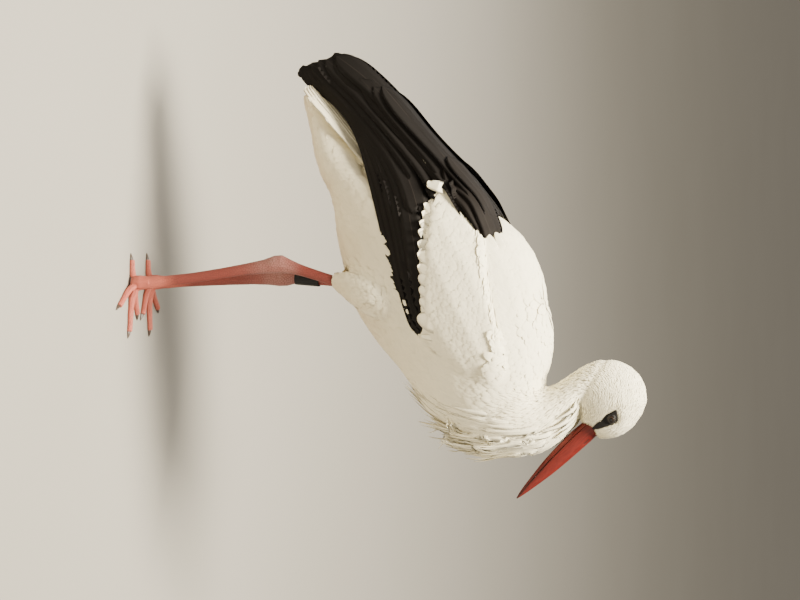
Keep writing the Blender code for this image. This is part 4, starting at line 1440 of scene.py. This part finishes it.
def make_plumes(look, hide):
    """Long loose plumes on the throat and breast, which hang in points off the lower neck."""
    rng = np.random.default_rng(21)
    profile = profile_of("plume_profile", (-1, 0, 1), 0.30, 0.08, 0.0)
    strands = Strands()
    points = hide.points
    low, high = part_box("neck")
    forward = (points[:, 0] - low.x) / (high.x - low.x)
    height = (points[:, 2] - low.z) / (high.z - low.z)
    clear = reach_to(points, *BILL) > BILL_CLEAR
    for count, (lowest, highest), facing, lengths, stand, hang in PLUMES:
        above = ease(height, lowest - 0.04, lowest + 0.02)
        below = ease(height, highest - 0.02, highest + 0.04)
        ahead = ease(hide.normals[:, 0], facing - 0.15, facing + 0.15)
        weight = above * (1 - below) * ahead * ease(forward, 0.35, 0.6) * clear
        for root in rng.choice(len(points), count, replace=False, p=weight / weight.sum()):
            length = rng.uniform(*lengths)
            drift = (0.0, rng.uniform(-PLUME_STRAY, PLUME_STRAY), PLUME_DOWN)
            path, out = hide.walk(points[root], length, PLUME_STATIONS, drift)
            if np.linalg.norm(path[-1] - path[0]) >= STRAIGHT * length:
                add_tuft(strands, hide, root, path, out, stand, hang, rng)
    finish_piece(strands.build("breast_plumes", profile, white_feather(look)), "white_plumage")
    discard(profile)


# ---------------------------------------------------------------- bill


def horn_red(bare):
    """Red horn with streaks along it and dark stains, and painted shade along the mouth line, in the nostrils
    and on the inner faces.
    """
    tree, shader, material = surface("bill_horn", 0.45, specular_ior_level=0.28)
    grain = node(tree, "ShaderNodeAttribute", attribute_name="grain").outputs["Vector"]
    streak = noise(tree, 1.0, 4.0, vector_node(tree, "MULTIPLY", grain, (60.0, 900.0, 900.0)))
    mottle = noise(tree, 1.0, 3.0, vector_node(tree, "MULTIPLY", grain, (120.0, 160.0, 160.0)))
    red = blend(tree, ramp(tree, streak, 0.35, 0.7), bare.bill, bare.bill_light)
    red = blend(tree, product(tree, ramp(tree, mottle, 0.55, 0.75), 0.35), red, bare.bill_dark)
    # Painted shade from the shade mark, in the bill's dark colour.
    colour(tree, shader, blend(tree, attribute(tree, "shade"), red, bare.bill_dark))
    bump(tree, shader, streak, 0.35, 0.0004)
    return material


class BillAxis:
    """The line from the bill's base to its tip, and the direction across it towards the culmen."""

    def __init__(self):
        direction, points = long_axis(*BILL)
        self.along = direction * np.sign(direction[0])
        self.up = np.cross(self.along, ACROSS)
        self.up *= np.sign(self.up[2])
        self.origin = points.mean(0) * (1, 0, 1)
        reach = (points - self.origin) @ self.along
        self.origin = self.origin + self.along * reach.min()
        self.length = reach.max() - reach.min()

    def section(self, name, at):
        """Lowest and highest point and half width of one half of the bill, some way along it."""
        cut = slice_points([name], self.origin + self.along * at, self.along)
        height = (cut - self.origin) @ self.up
        return height.min(), height.max(), np.abs(cut[:, 1]).max()


BILL_STATIONS, BILL_SIDES = 96, 56
# Where along the bill its horn starts, how far short of the tip it ends, where the first whole slice of
# the CAD is, and the run beyond that over which its slope is taken.
HORN_START, TIP_SHORT, WHOLE, SLOPE_RUN = -0.004, 0.0006, 0.013, 0.01
# How high up the upper half the nostril lies, as a share of its height, and how deep it is.
NOSTRIL_HEIGHT, NOSTRIL_DEPTH = 0.84, 0.0016
# How round the halves are, across and up, and how far in and up the inner face of each lies.
ROUND_ACROSS, ROUND_UP, INNER_ACROSS, INNER_UP = 0.82, 1.05, 0.86, 0.06


def bill_sizes(axis, name, reach):
    """Lowest and highest point and half width of one half of the bill at each station.

    Towards the base, where the CAD's slices aren't whole, they go on at the slope that they have there.
    """
    sizes = np.array([axis.section(name, max(r, WHOLE)) for r in reach])
    slope = np.array(axis.section(name, WHOLE + SLOPE_RUN)) - np.array(axis.section(name, WHOLE))
    sizes = sizes + np.minimum(reach - WHOLE, 0)[:, None] / SLOPE_RUN * slope
    for values in sizes.T:
        values[2:-2] = np.convolve(values, np.ones(5) / 5, "valid")
    return sizes


def bill_ring(axis, bare, upper, r, low, high, half):
    """The points of one ring of a half of the bill, across and up, and how much painted shade each has."""
    edge, tall = (low, high - low) if upper else (high, low - high)
    theta = np.linspace(0, math.pi, BILL_SIDES // 2 + 1)
    level = np.abs(np.sin(theta))
    y = half * np.sign(np.cos(theta)) * np.abs(np.cos(theta)) ** ROUND_ACROSS
    up = edge + tall * level**ROUND_UP
    slit = 0.0
    if upper:
        along = ease(abs(r - bare.nostril_at), bare.nostril_length * 0.35, bare.nostril_length * 0.5)
        across = ease(np.abs(up - (edge + NOSTRIL_HEIGHT * tall)), 0.0003, 0.0010)
        slit = (1 - along) * (1 - across)
        y = y - np.sign(y) * slit * NOSTRIL_DEPTH
    place, gap = r / axis.length, level * abs(tall)
    # Painted shade: dark along the mouth line, in a wider band beside it over the outer half, in the nostril
    # slit, and over the whole inner face.
    seam = (1 - ease(gap, 0.0002, 0.0010)) * (0.35 + 0.65 * ease(place, 0.3, 0.5))
    rim = ease(place, 0.42, 0.62) * (1 - ease(gap, 0.0006, 0.0030)) * 0.75
    shade = np.clip(np.maximum(seam * 0.8, rim) + slit, 0, 1)
    inner = y[-2:0:-1] * INNER_ACROSS
    y = np.concatenate([y, inner])
    up = np.concatenate([up, np.full(len(inner), edge + INNER_UP * tall)])
    return y, up, np.concatenate([shade, np.ones(len(inner))])


def make_bill(bare):
    """Both halves of the bill as smooth horn, with the nostrils and the dark line of the mouth."""
    axis, material = BillAxis(), horn_red(bare)
    reach = np.linspace(HORN_START, axis.length - TIP_SHORT, BILL_STATIONS)
    for name in BILL:
        rings, shades, grains = [], [], []
        for r, size in zip(reach, bill_sizes(axis, name, reach)):
            y, up, shade = bill_ring(axis, bare, name == "bill_upper", r, *size)
            rings.append(axis.origin + axis.along * r + up[:, None] * axis.up + y[:, None] * ACROSS)
            shades.append(shade)
            grains.append(np.stack([np.full(len(y), r), y, up], 1))
        thing = loft(name + "_horn", rings, material)
        store(thing.data, "shade", with_ends(shades))
        store(thing.data, "grain", with_ends(grains))
        finish_piece(thing, "bill", name)


# ---------------------------------------------------------------- eyes


def eye_look():
    """The eyeball: pupil, rayed iris and dark rim, by the angle from the way that it looks."""
    tree, shader, material = surface("eye", 0.12, specular_ior_level=0.35)
    gaze = attribute(tree, "gaze")
    rays = noise(tree, 1.0, 4.0, vector_node(tree, "MULTIPLY", here(tree), (2500.0, 2500.0, 2500.0)))
    iris = blend(tree, rays, (0.010, 0.006, 0.004), (0.028, 0.016, 0.010))
    inner = blend(tree, ramp(tree, gaze, 0.36, 0.40), (0.002, 0.002, 0.002), iris)
    colour(tree, shader, blend(tree, ramp(tree, gaze, 0.66, 0.74), inner, (0.006, 0.005, 0.005)))
    return material


def bare_black():
    """Black skin with fine folds."""
    tree, shader, material = surface("bare_skin", 0.6, specular_ior_level=0.2)
    folds = noise(tree, 1400.0, 4.0)
    colour(tree, shader, blend(tree, folds, (0.005, 0.0045, 0.0045), (0.015, 0.013, 0.012)))
    bump(tree, shader, folds, 0.5, 0.0005)
    return material


# The way that the right eye looks: forward, and up, for each unit to the side.
GAZE_FORWARD, GAZE_UP = 0.22, 0.04
BALL_RINGS, BALL_SIDES, BALL_POLE = 26, 40, 0.03
# The lid: its width, how far it starts inside the opening, and the height of each of its rings over the
# ball.
LID_WIDTH, LID_INSIDE = 0.0016, 0.0006
LID_HEIGHTS = (-0.0004, 0.0002, 0.0006, 0.0008, 0.0007, 0.0004)
# The bare patch: rings beyond the lid, spokes, how far it runs under the feathers, how high it stands and
# how far its edge sinks, its thickness, and the height and spacing of its folds.
PATCH_RINGS, PATCH_SPOKES, PATCH_UNDER, PATCH_HEIGHT, PATCH_SINK = 10, 96, 0.0015, 0.0012, 0.0016
PATCH_THICKNESS, FOLD_HEIGHT, FOLD_SPACING = 0.0010, 0.00022, 0.0021
# Distances from the eye's centre at which the patch's edge is looked for.
PATCH_REACHES = np.linspace(0.004, 0.032, 90)


def turns_of(count):
    """Angles of a full turn, without the last."""
    return np.linspace(0, 2 * math.pi, count + 1)[:-1]


def eyeball(name, side, material):
    """A ball whose points know their angle from the way that the eye looks."""
    centre, radius = eye_ball(name)
    gaze = unit(np.array([GAZE_FORWARD, side, GAZE_UP]))
    across = unit(np.cross(gaze, UP))
    other = np.cross(gaze, across)
    turn = turns_of(BALL_SIDES)[:, None]
    spoke = np.cos(turn) * across + np.sin(turn) * other
    rings = [
        centre + radius * (math.cos(polar) * gaze + math.sin(polar) * spoke)
        for polar in np.linspace(BALL_POLE, math.pi - BALL_POLE, BALL_RINGS)
    ]
    ball = loft("eyeball_" + name, rings, material)
    points, _ = arrays_of(ball.data)
    store(ball.data, "gaze", np.arccos(np.clip(unit(points - centre) @ gaze, -1, 1)))
    return ball


def patch_point(ring, angle, far, opening, centre, radius, side, hide):
    """A point of the lids and the bare patch, on one ring and at one angle round the eye."""
    lid_rings = len(LID_HEIGHTS)
    opening = opening / 2 * (1 - 0.10 * abs(math.sin(angle)))
    lid = opening + LID_WIDTH
    if ring < lid_rings:
        r = opening - LID_INSIDE + (lid - opening + LID_INSIDE) * ring / (lid_rings - 1)
    else:
        r = lid + (far + PATCH_UNDER - lid) * (ring - lid_rings) / (PATCH_RINGS - 1)
    x, z = centre[0] + r * math.cos(angle), centre[2] + r * math.sin(angle)
    on_ball = abs(centre[1]) + math.sqrt(max(radius**2 - min(r, radius) ** 2, 0.0))
    if ring < lid_rings:
        return x, side * (on_ball + LID_HEIGHTS[ring]), z
    hit = hide.tree.ray_cast(Vector((x, side * BESIDE, z)), Vector((0, -side, 0)))[0]
    on_skin = abs(hit.y) if hit is not None else abs(centre[1])
    share = (r - lid) / max(far - lid, 1e-4)
    sunk, folded, clear = (float(ease(share, *ends)) for ends in ((0.75, 1.15), (0.0, 0.3), (0.0, 0.35)))
    fold = FOLD_HEIGHT * math.sin(r * 2 * math.pi / FOLD_SPACING + 1.3 * math.sin(3 * angle))
    y = on_skin + PATCH_HEIGHT - PATCH_SINK * sunk + fold * folded
    return x, side * (y + max(on_ball + LID_HEIGHTS[-1] - y, 0) * (1 - clear)), z


def make_eyes(bare, hide):
    """The eyeballs, and round each the black bare skin with its lids."""
    glassy, black = eye_look(), bare_black()
    outline, turns = patch_outline(), turns_of(PATCH_SPOKES)
    spokes = np.stack([np.cos(turns), np.sin(turns)], 1)
    reach = [PATCH_REACHES[inside_by(np.outer(PATCH_REACHES, spoke), outline) > 0].max() for spoke in spokes]
    for name, side in SIDES:
        finish_piece(eyeball(name, side, glassy), "eye", "eye_" + name)
        eye = (bare.eye_opening, *eye_ball(name), side, hide)
        rings = np.array([
            [patch_point(ring, turn, far, *eye) for turn, far in zip(turns, reach)]
            for ring in range(len(LID_HEIGHTS) + PATCH_RINGS)
        ])
        finish_piece(sheet("eye_patch_" + name, rings, black, PATCH_THICKNESS, side), "eye")


def sheet(name, rings, material, thickness, side):
    """A thin closed shell through rings of points round an opening, with its thickness towards the body."""
    count, sides = rings.shape[:2]
    inner = rings - side * thickness * ACROSS
    points = np.concatenate([rings.reshape(-1, 3), inner.reshape(-1, 3)])
    shift, end = count * sides, (count - 1) * sides
    faces = tube_faces(count, sides)
    faces += [(b + shift, a + shift, d + shift, c + shift) for a, b, c, d in faces]
    for k in range(sides):
        n = (k + 1) % sides
        faces += [(n, k, k + shift, n + shift), (end + k, end + n, end + n + shift, end + k + shift)]
    return outward(object_of(name, points, faces, material))


# ---------------------------------------------------------------- legs


def leg_skin(bare):
    """Brick red skin, coral on the toes, dusty at the heel, and dark in the grooves between its scales."""
    tree, shader, material = surface("leg_skin", 0.62)
    mottle = noise(tree, 55.0)
    upper = blend(tree, mottle, bare.leg, toned(bare.leg, 0.75))
    toes = blend(tree, ramp(tree, attribute(tree, "low"), 0.2, 0.9), upper, bare.foot)
    dust = product(tree, attribute(tree, "dust"), math_node(tree, "MULTIPLY_ADD", mottle, 1.0, 0.25))
    dusty = blend(tree, dust, toes, bare.heel)
    colour(tree, shader, blend(tree, attribute(tree, "groove"), dusty, toned(bare.leg, 0.38)))
    bump(tree, shader, noise(tree, 900.0), 0.4, 0.0004)
    return material


NEIGHBOURS = [(dx, dy, dz) for dx in (-1, 0, 1) for dy in (-1, 0, 1) for dz in (-1, 0, 1)]


def poisson(points, spacing, rng):
    """Picks points no nearer to each other than a spacing."""
    cells, kept = {}, []
    for i in rng.permutation(len(points)):
        x, y, z = (points[i] // spacing).astype(int).tolist()
        near = (j for dx, dy, dz in NEIGHBOURS for j in cells.get((x + dx, y + dy, z + dz), ()))
        if not any(((points[i] - points[j]) ** 2).sum() < spacing * spacing for j in near):
            cells.setdefault((x, y, z), []).append(i)
            kept.append(i)
    return np.array(kept)


# How far the legs' and the claws' nodes are swollen, the size of the faces, and the rounds of smoothing.
LEG_COPY, CLAW_COPY = (0.0004, 0.0009, 8), (0.0002, 0.0005, 4)
# Below this height the scales are the toes' finer ones. For each kind: the spacing of their middles, and
# their size.
TOE_HEIGHT, TOE_SCALE, LEG_SCALE = 0.035, (0.0023, 0.0026), (0.0031, 0.0034)
# Half the width of a groove as a share of a scale's size, how far scales stand up, and how deep the
# grooves are.
GROOVE_WIDTH, SCALE_HEIGHT, GROOVE_DEPTH = 0.28, 0.00012, 0.00030
# The coral of the toes fades over these heights.
CORAL = (0.03, 0.11)
# The dust lies this far below the top of the tarsus, and spreads this far.
DUST_BELOW, DUST_SPREAD = 0.022, 0.042


def grooves_of(points, rng):
    """1 in the grooves between small scales, 0 on the scales."""
    toes = points[:, 2] < TOE_HEIGHT
    middles = []
    for chosen, (spacing, _) in ((toes, TOE_SCALE), (~toes, LEG_SCALE)):
        part = points[chosen]
        middles.append(part[poisson(part, spacing, rng)])
    middles = np.concatenate(middles)
    tree = KDTree(len(middles))
    for k, place in enumerate(middles):
        tree.insert(Vector(place), k)
    tree.balance()
    gaps = []
    for point in points:
        nearest, second = tree.find_n(Vector(point), 2)
        gaps.append(second[2] - nearest[2])
    return 1 - ease(np.array(gaps) / np.where(toes, TOE_SCALE[1], LEG_SCALE[1]), 0.0, GROOVE_WIDTH)


def make_legs(bare):
    """Scaled skin from the feathers of the thigh to the toes, for each leg."""
    material = leg_skin(bare)
    rng = np.random.default_rng(3)
    for name, _ in SIDES:
        nodes = [f"{part}_{name}" for part in ("tibia", "tarsus", "foot")]
        thing = smooth_copy("leg_" + name, nodes, material, *LEG_COPY)
        points, normals = arrays_of(thing.data)
        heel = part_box("tarsus_" + name)[1].z
        low = 1 - ease(points[:, 2], *CORAL)
        groove = grooves_of(points, rng)
        points = on_floor(points + normals * (SCALE_HEIGHT - GROOVE_DEPTH * groove)[:, None])
        set_points(thing.data, points)
        below = heel - points[:, 2]
        dust = np.exp(-(((DUST_BELOW - below) / DUST_SPREAD) ** 2)) * ease(below + 0.02, -0.01, 0.02)
        for key, values in (("groove", groove * 0.75), ("low", low), ("dust", np.clip(dust, 0, 1))):
            store(thing.data, key, values)
        finish_piece(thing, "leg_skin", *nodes)


def claw_horn():
    """Dark horn with worn streaks."""
    tree, shader, material = surface("claw_horn", 0.42)
    streak = noise(tree, 500.0)
    colour(tree, shader, blend(tree, streak, (0.035, 0.020, 0.014), (0.10, 0.060, 0.040)))
    bump(tree, shader, streak, 0.3, 0.0003)
    return material


def make_claws():
    """The eight claws, as smooth horn."""
    material = claw_horn()
    for name, _ in SIDES:
        for toe in range(1, 5):
            source = f"claw_{name}_{toe}"
            thing = smooth_copy("horn_" + source, [source], material, *CLAW_COPY)
            set_points(thing.data, on_floor(arrays_of(thing.data)[0]))
            finish_piece(thing, "claw_horn", source)


# ---------------------------------------------------------------- ring


def ring_plastic():
    """Black plastic with a little scuffing."""
    tree, shader, material = surface("ring_plastic", 0.55, specular_ior_level=0.25)
    scuff = noise(tree, 220.0, 5.0)
    worn = product(tree, ramp(tree, scuff, 0.5, 0.75), 0.6)
    colour(tree, shader, blend(tree, worn, (0.005, 0.005, 0.006), (0.022, 0.021, 0.020)))
    bump(tree, shader, scuff, 0.2, 0.0003)
    return material


# The rounding of the ring's rims, and how far its strip steps in where its ends overlap, at this angle
# round it.
RIM, OVERLAP_STEP, OVERLAP_AT, RING_SPOKES = 0.0006, 0.0007, 2.2, 96


def make_ring():
    """The plain black ring above the left heel: a rolled strip whose ends overlap, with rounded rims."""
    points, _ = triangles_of("leg_ring")
    middle = points.mean(0)
    off = points - middle
    axis = max(np.linalg.eigh(off.T @ off)[1].T, key=lambda direction: abs(direction[2]))
    axis = axis * np.sign(axis[2])
    height = off @ axis
    radial = np.linalg.norm(off - height[:, None] * axis, axis=1)
    outer, inner, half = radial.max() * 0.985, radial.min(), (height.max() - height.min()) / 2
    across = unit(np.cross(axis, ACROSS))
    other = np.cross(axis, across)
    rim = [(inner, half - RIM), (inner + RIM * 0.5, half), (outer - RIM, half), (outer, half - RIM)]
    shape = [(r, -h) for r, h in rim]
    shape += [(outer, h) for h in np.linspace(-half + 2 * RIM, half - 2 * RIM, 6)]
    shape += rim[::-1]
    rings = []
    for turn in turns_of(RING_SPOKES):
        step = OVERLAP_STEP * float(ease(math.cos(turn - OVERLAP_AT), 0.985, 0.999))
        spoke = math.cos(turn) * across + math.sin(turn) * other
        rings.append([middle + spoke * (r - (step if r > inner + RIM else 0)) + axis * h for r, h in shape])
    rings = np.array(rings)
    faces = tube_faces(*rings.shape[:2], closed=True)
    band = outward(object_of("ring_band", rings.reshape(-1, 3), faces, ring_plastic()))
    finish_piece(band, "ring", "leg_ring")


# ---------------------------------------------------------------- stage

# What the camera looks at, how far it is, how high it looks from, and its lens and sensor in mm.
VIEW_MIDDLE, VIEW_DISTANCE, VIEW_LIFT = Vector((0.0426, 0.0, 0.4354)), 3.9, math.radians(15)
LENS, SENSOR, CLIP_END = 112.5, 36.0, 200.0
FLOOR_HALF = 30
WORLD_COLOUR, WORLD_STRENGTH = (1.0, 0.95, 0.85, 1.0), 0.42
# Name, watts, size, place and colour of each lamp.
LAMPS = (
    ("key", 400.0, 1.0, (-0.3, -0.7, 3.0), (1.0, 0.93, 0.78)),
    ("fill", 30.0, 2.4, (1.8, -2.6, 1.0), (1.0, 0.91, 0.75)),
    ("back", 50.0, 1.6, (-1.6, 1.8, 2.0), (1.0, 0.97, 0.93)),
)


def make_stage():
    """A wide pale floor, soft lights, and the camera, rolled a quarter turn as the bird is seen."""
    tree, shader, material = surface("floor", 0.9)
    colour(tree, shader, blend(tree, noise(tree, 1.5), (0.34, 0.315, 0.27), (0.37, 0.345, 0.30)))
    corners = [(x * FLOOR_HALF, y * FLOOR_HALF, 0) for x, y in ((-1, -1), (1, -1), (1, 1), (-1, 1))]
    object_of("floor", corners, [(0, 1, 2, 3)], material)
    world = bpy.data.worlds.new("studio")
    world.use_nodes = True
    background = world.node_tree.nodes["Background"].inputs
    background["Color"].default_value, background["Strength"].default_value = WORLD_COLOUR, WORLD_STRENGTH
    bpy.context.scene.world = world
    for name, power, size, place, tone in LAMPS:
        light = bpy.data.lights.new(name, "AREA")
        light.energy, light.size, light.color = power, size, tone
        lamp = linked(name, light)
        lamp.location = place
        lamp.rotation_euler = (VIEW_MIDDLE - Vector(place)).to_track_quat("-Z", "Y").to_euler()
    lens = bpy.data.cameras.new("camera")
    lens.sensor_width, lens.lens, lens.clip_end = SENSOR, LENS, CLIP_END
    camera = linked("camera", lens)
    sine, cosine = math.sin(VIEW_LIFT), math.cos(VIEW_LIFT)
    back = Vector((0.0, -cosine, sine))
    turn = Matrix(((0.0, -1.0, 0.0), (sine, 0.0, back.y), (cosine, 0.0, back.z)))
    camera.matrix_world = Matrix.Translation(VIEW_MIDDLE + VIEW_DISTANCE * back) @ turn.to_4x4()
    bpy.context.scene.camera = camera


# ---------------------------------------------------------------- operators and panel


class StorkBuild:
    """What every building step shares: the settings and the skin."""

    bl_options = {"REGISTER", "UNDO"}

    @staticmethod
    def look():
        return bpy.context.scene.stork_plumage

    @staticmethod
    def bare():
        return bpy.context.scene.stork_bare

    @staticmethod
    def skin():
        if "skin" not in bpy.data.objects:
            raise RuntimeError("make the skin before what lies on it")
        return bpy.data.objects["skin"]


class STORK_OT_skin(StorkBuild, bpy.types.Operator):
    """Make the one skin under the plumage"""

    bl_idname = "stork.skin"
    bl_label = "Skin"

    def execute(self, context):
        make_skin(self.look(), BodyAxis())
        return {"FINISHED"}


class STORK_OT_coat(StorkBuild, bpy.types.Operator):
    """Lay the small feathers of head, neck, body, thighs and wings"""

    bl_idname = "stork.coat"
    bl_label = "Small Feathers"

    def execute(self, context):
        make_coat(self.look(), self.skin())
        return {"FINISHED"}


class STORK_OT_plumes(StorkBuild, bpy.types.Operator):
    """Hang the long plumes of the throat and breast"""

    bl_idname = "stork.plumes"
    bl_label = "Breast Plumes"

    def execute(self, context):
        make_plumes(self.look(), Hide(self.skin()))
        return {"FINISHED"}


class STORK_OT_wings(StorkBuild, bpy.types.Operator):
    """Lay the black feathers of the folded wings"""

    bl_idname = "stork.wings"
    bl_label = "Wings"

    def execute(self, context):
        make_wings(self.look(), self.skin())
        return {"FINISHED"}


class STORK_OT_tail(StorkBuild, bpy.types.Operator):
    """Lay the twelve tail feathers"""

    bl_idname = "stork.tail"
    bl_label = "Tail"

    def execute(self, context):
        make_tail(self.look())
        return {"FINISHED"}


class STORK_OT_bill(StorkBuild, bpy.types.Operator):
    """Make both halves of the bill"""

    bl_idname = "stork.bill"
    bl_label = "Bill"

    def execute(self, context):
        make_bill(self.bare())
        return {"FINISHED"}


class STORK_OT_eyes(StorkBuild, bpy.types.Operator):
    """Make the eyes, their lids and the bare skin round them"""

    bl_idname = "stork.eyes"
    bl_label = "Eyes"

    def execute(self, context):
        make_eyes(self.bare(), Hide(self.skin()))
        return {"FINISHED"}


class STORK_OT_legs(StorkBuild, bpy.types.Operator):
    """Make the scaled skin of both legs"""

    bl_idname = "stork.legs"
    bl_label = "Legs"

    def execute(self, context):
        make_legs(self.bare())
        return {"FINISHED"}


class STORK_OT_claws(StorkBuild, bpy.types.Operator):
    """Make the eight claws"""

    bl_idname = "stork.claws"
    bl_label = "Claws"

    def execute(self, context):
        make_claws()
        return {"FINISHED"}


class STORK_OT_ring(StorkBuild, bpy.types.Operator):
    """Make the plain ring above the left heel"""

    bl_idname = "stork.ring"
    bl_label = "Leg Ring"

    def execute(self, context):
        make_ring()
        return {"FINISHED"}


class STORK_OT_stage(StorkBuild, bpy.types.Operator):
    """Make the floor, the lights and the camera"""

    bl_idname = "stork.stage"
    bl_label = "Stage"

    def execute(self, context):
        make_stage()
        return {"FINISHED"}


STEPS = (
    STORK_OT_skin, STORK_OT_coat, STORK_OT_plumes, STORK_OT_wings, STORK_OT_tail, STORK_OT_bill,
    STORK_OT_eyes, STORK_OT_legs, STORK_OT_claws, STORK_OT_ring, STORK_OT_stage,
)


class STORK_PT_parts(bpy.types.Panel):
    """The stork's parts, in the order in which they are made"""

    bl_idname = "STORK_PT_parts"
    bl_label = "White Stork"
    bl_space_type = "VIEW_3D"
    bl_region_type = "UI"
    bl_category = "Stork"

    def draw(self, context):
        for group in (context.scene.stork_plumage, context.scene.stork_bare):
            for key in group.bl_rna.properties.keys():
                if key not in ("rna_type", "name"):
                    self.layout.prop(group, key)
        for step in STEPS:
            self.layout.operator(step.bl_idname)


CLASSES = (StorkPlumage, StorkBareParts, *STEPS, STORK_PT_parts)


def register():
    for cls in CLASSES:
        bpy.utils.register_class(cls)
    bpy.types.Scene.stork_plumage = PointerProperty(type=StorkPlumage)
    bpy.types.Scene.stork_bare = PointerProperty(type=StorkBareParts)


def unregister():
    del bpy.types.Scene.stork_plumage
    del bpy.types.Scene.stork_bare
    for cls in reversed(CLASSES):
        bpy.utils.unregister_class(cls)


def main():
    register()
    for step in STEPS:
        getattr(bpy.ops.stork, step.bl_idname.split(".")[1])()
    tidy_attributes(bpy.data.objects["skin"].data, SKIN_MARKS)
    finish_piece(bpy.data.objects["skin"], "white_plumage", *SKIN_NODES)


if __name__ == "__main__":
    main()
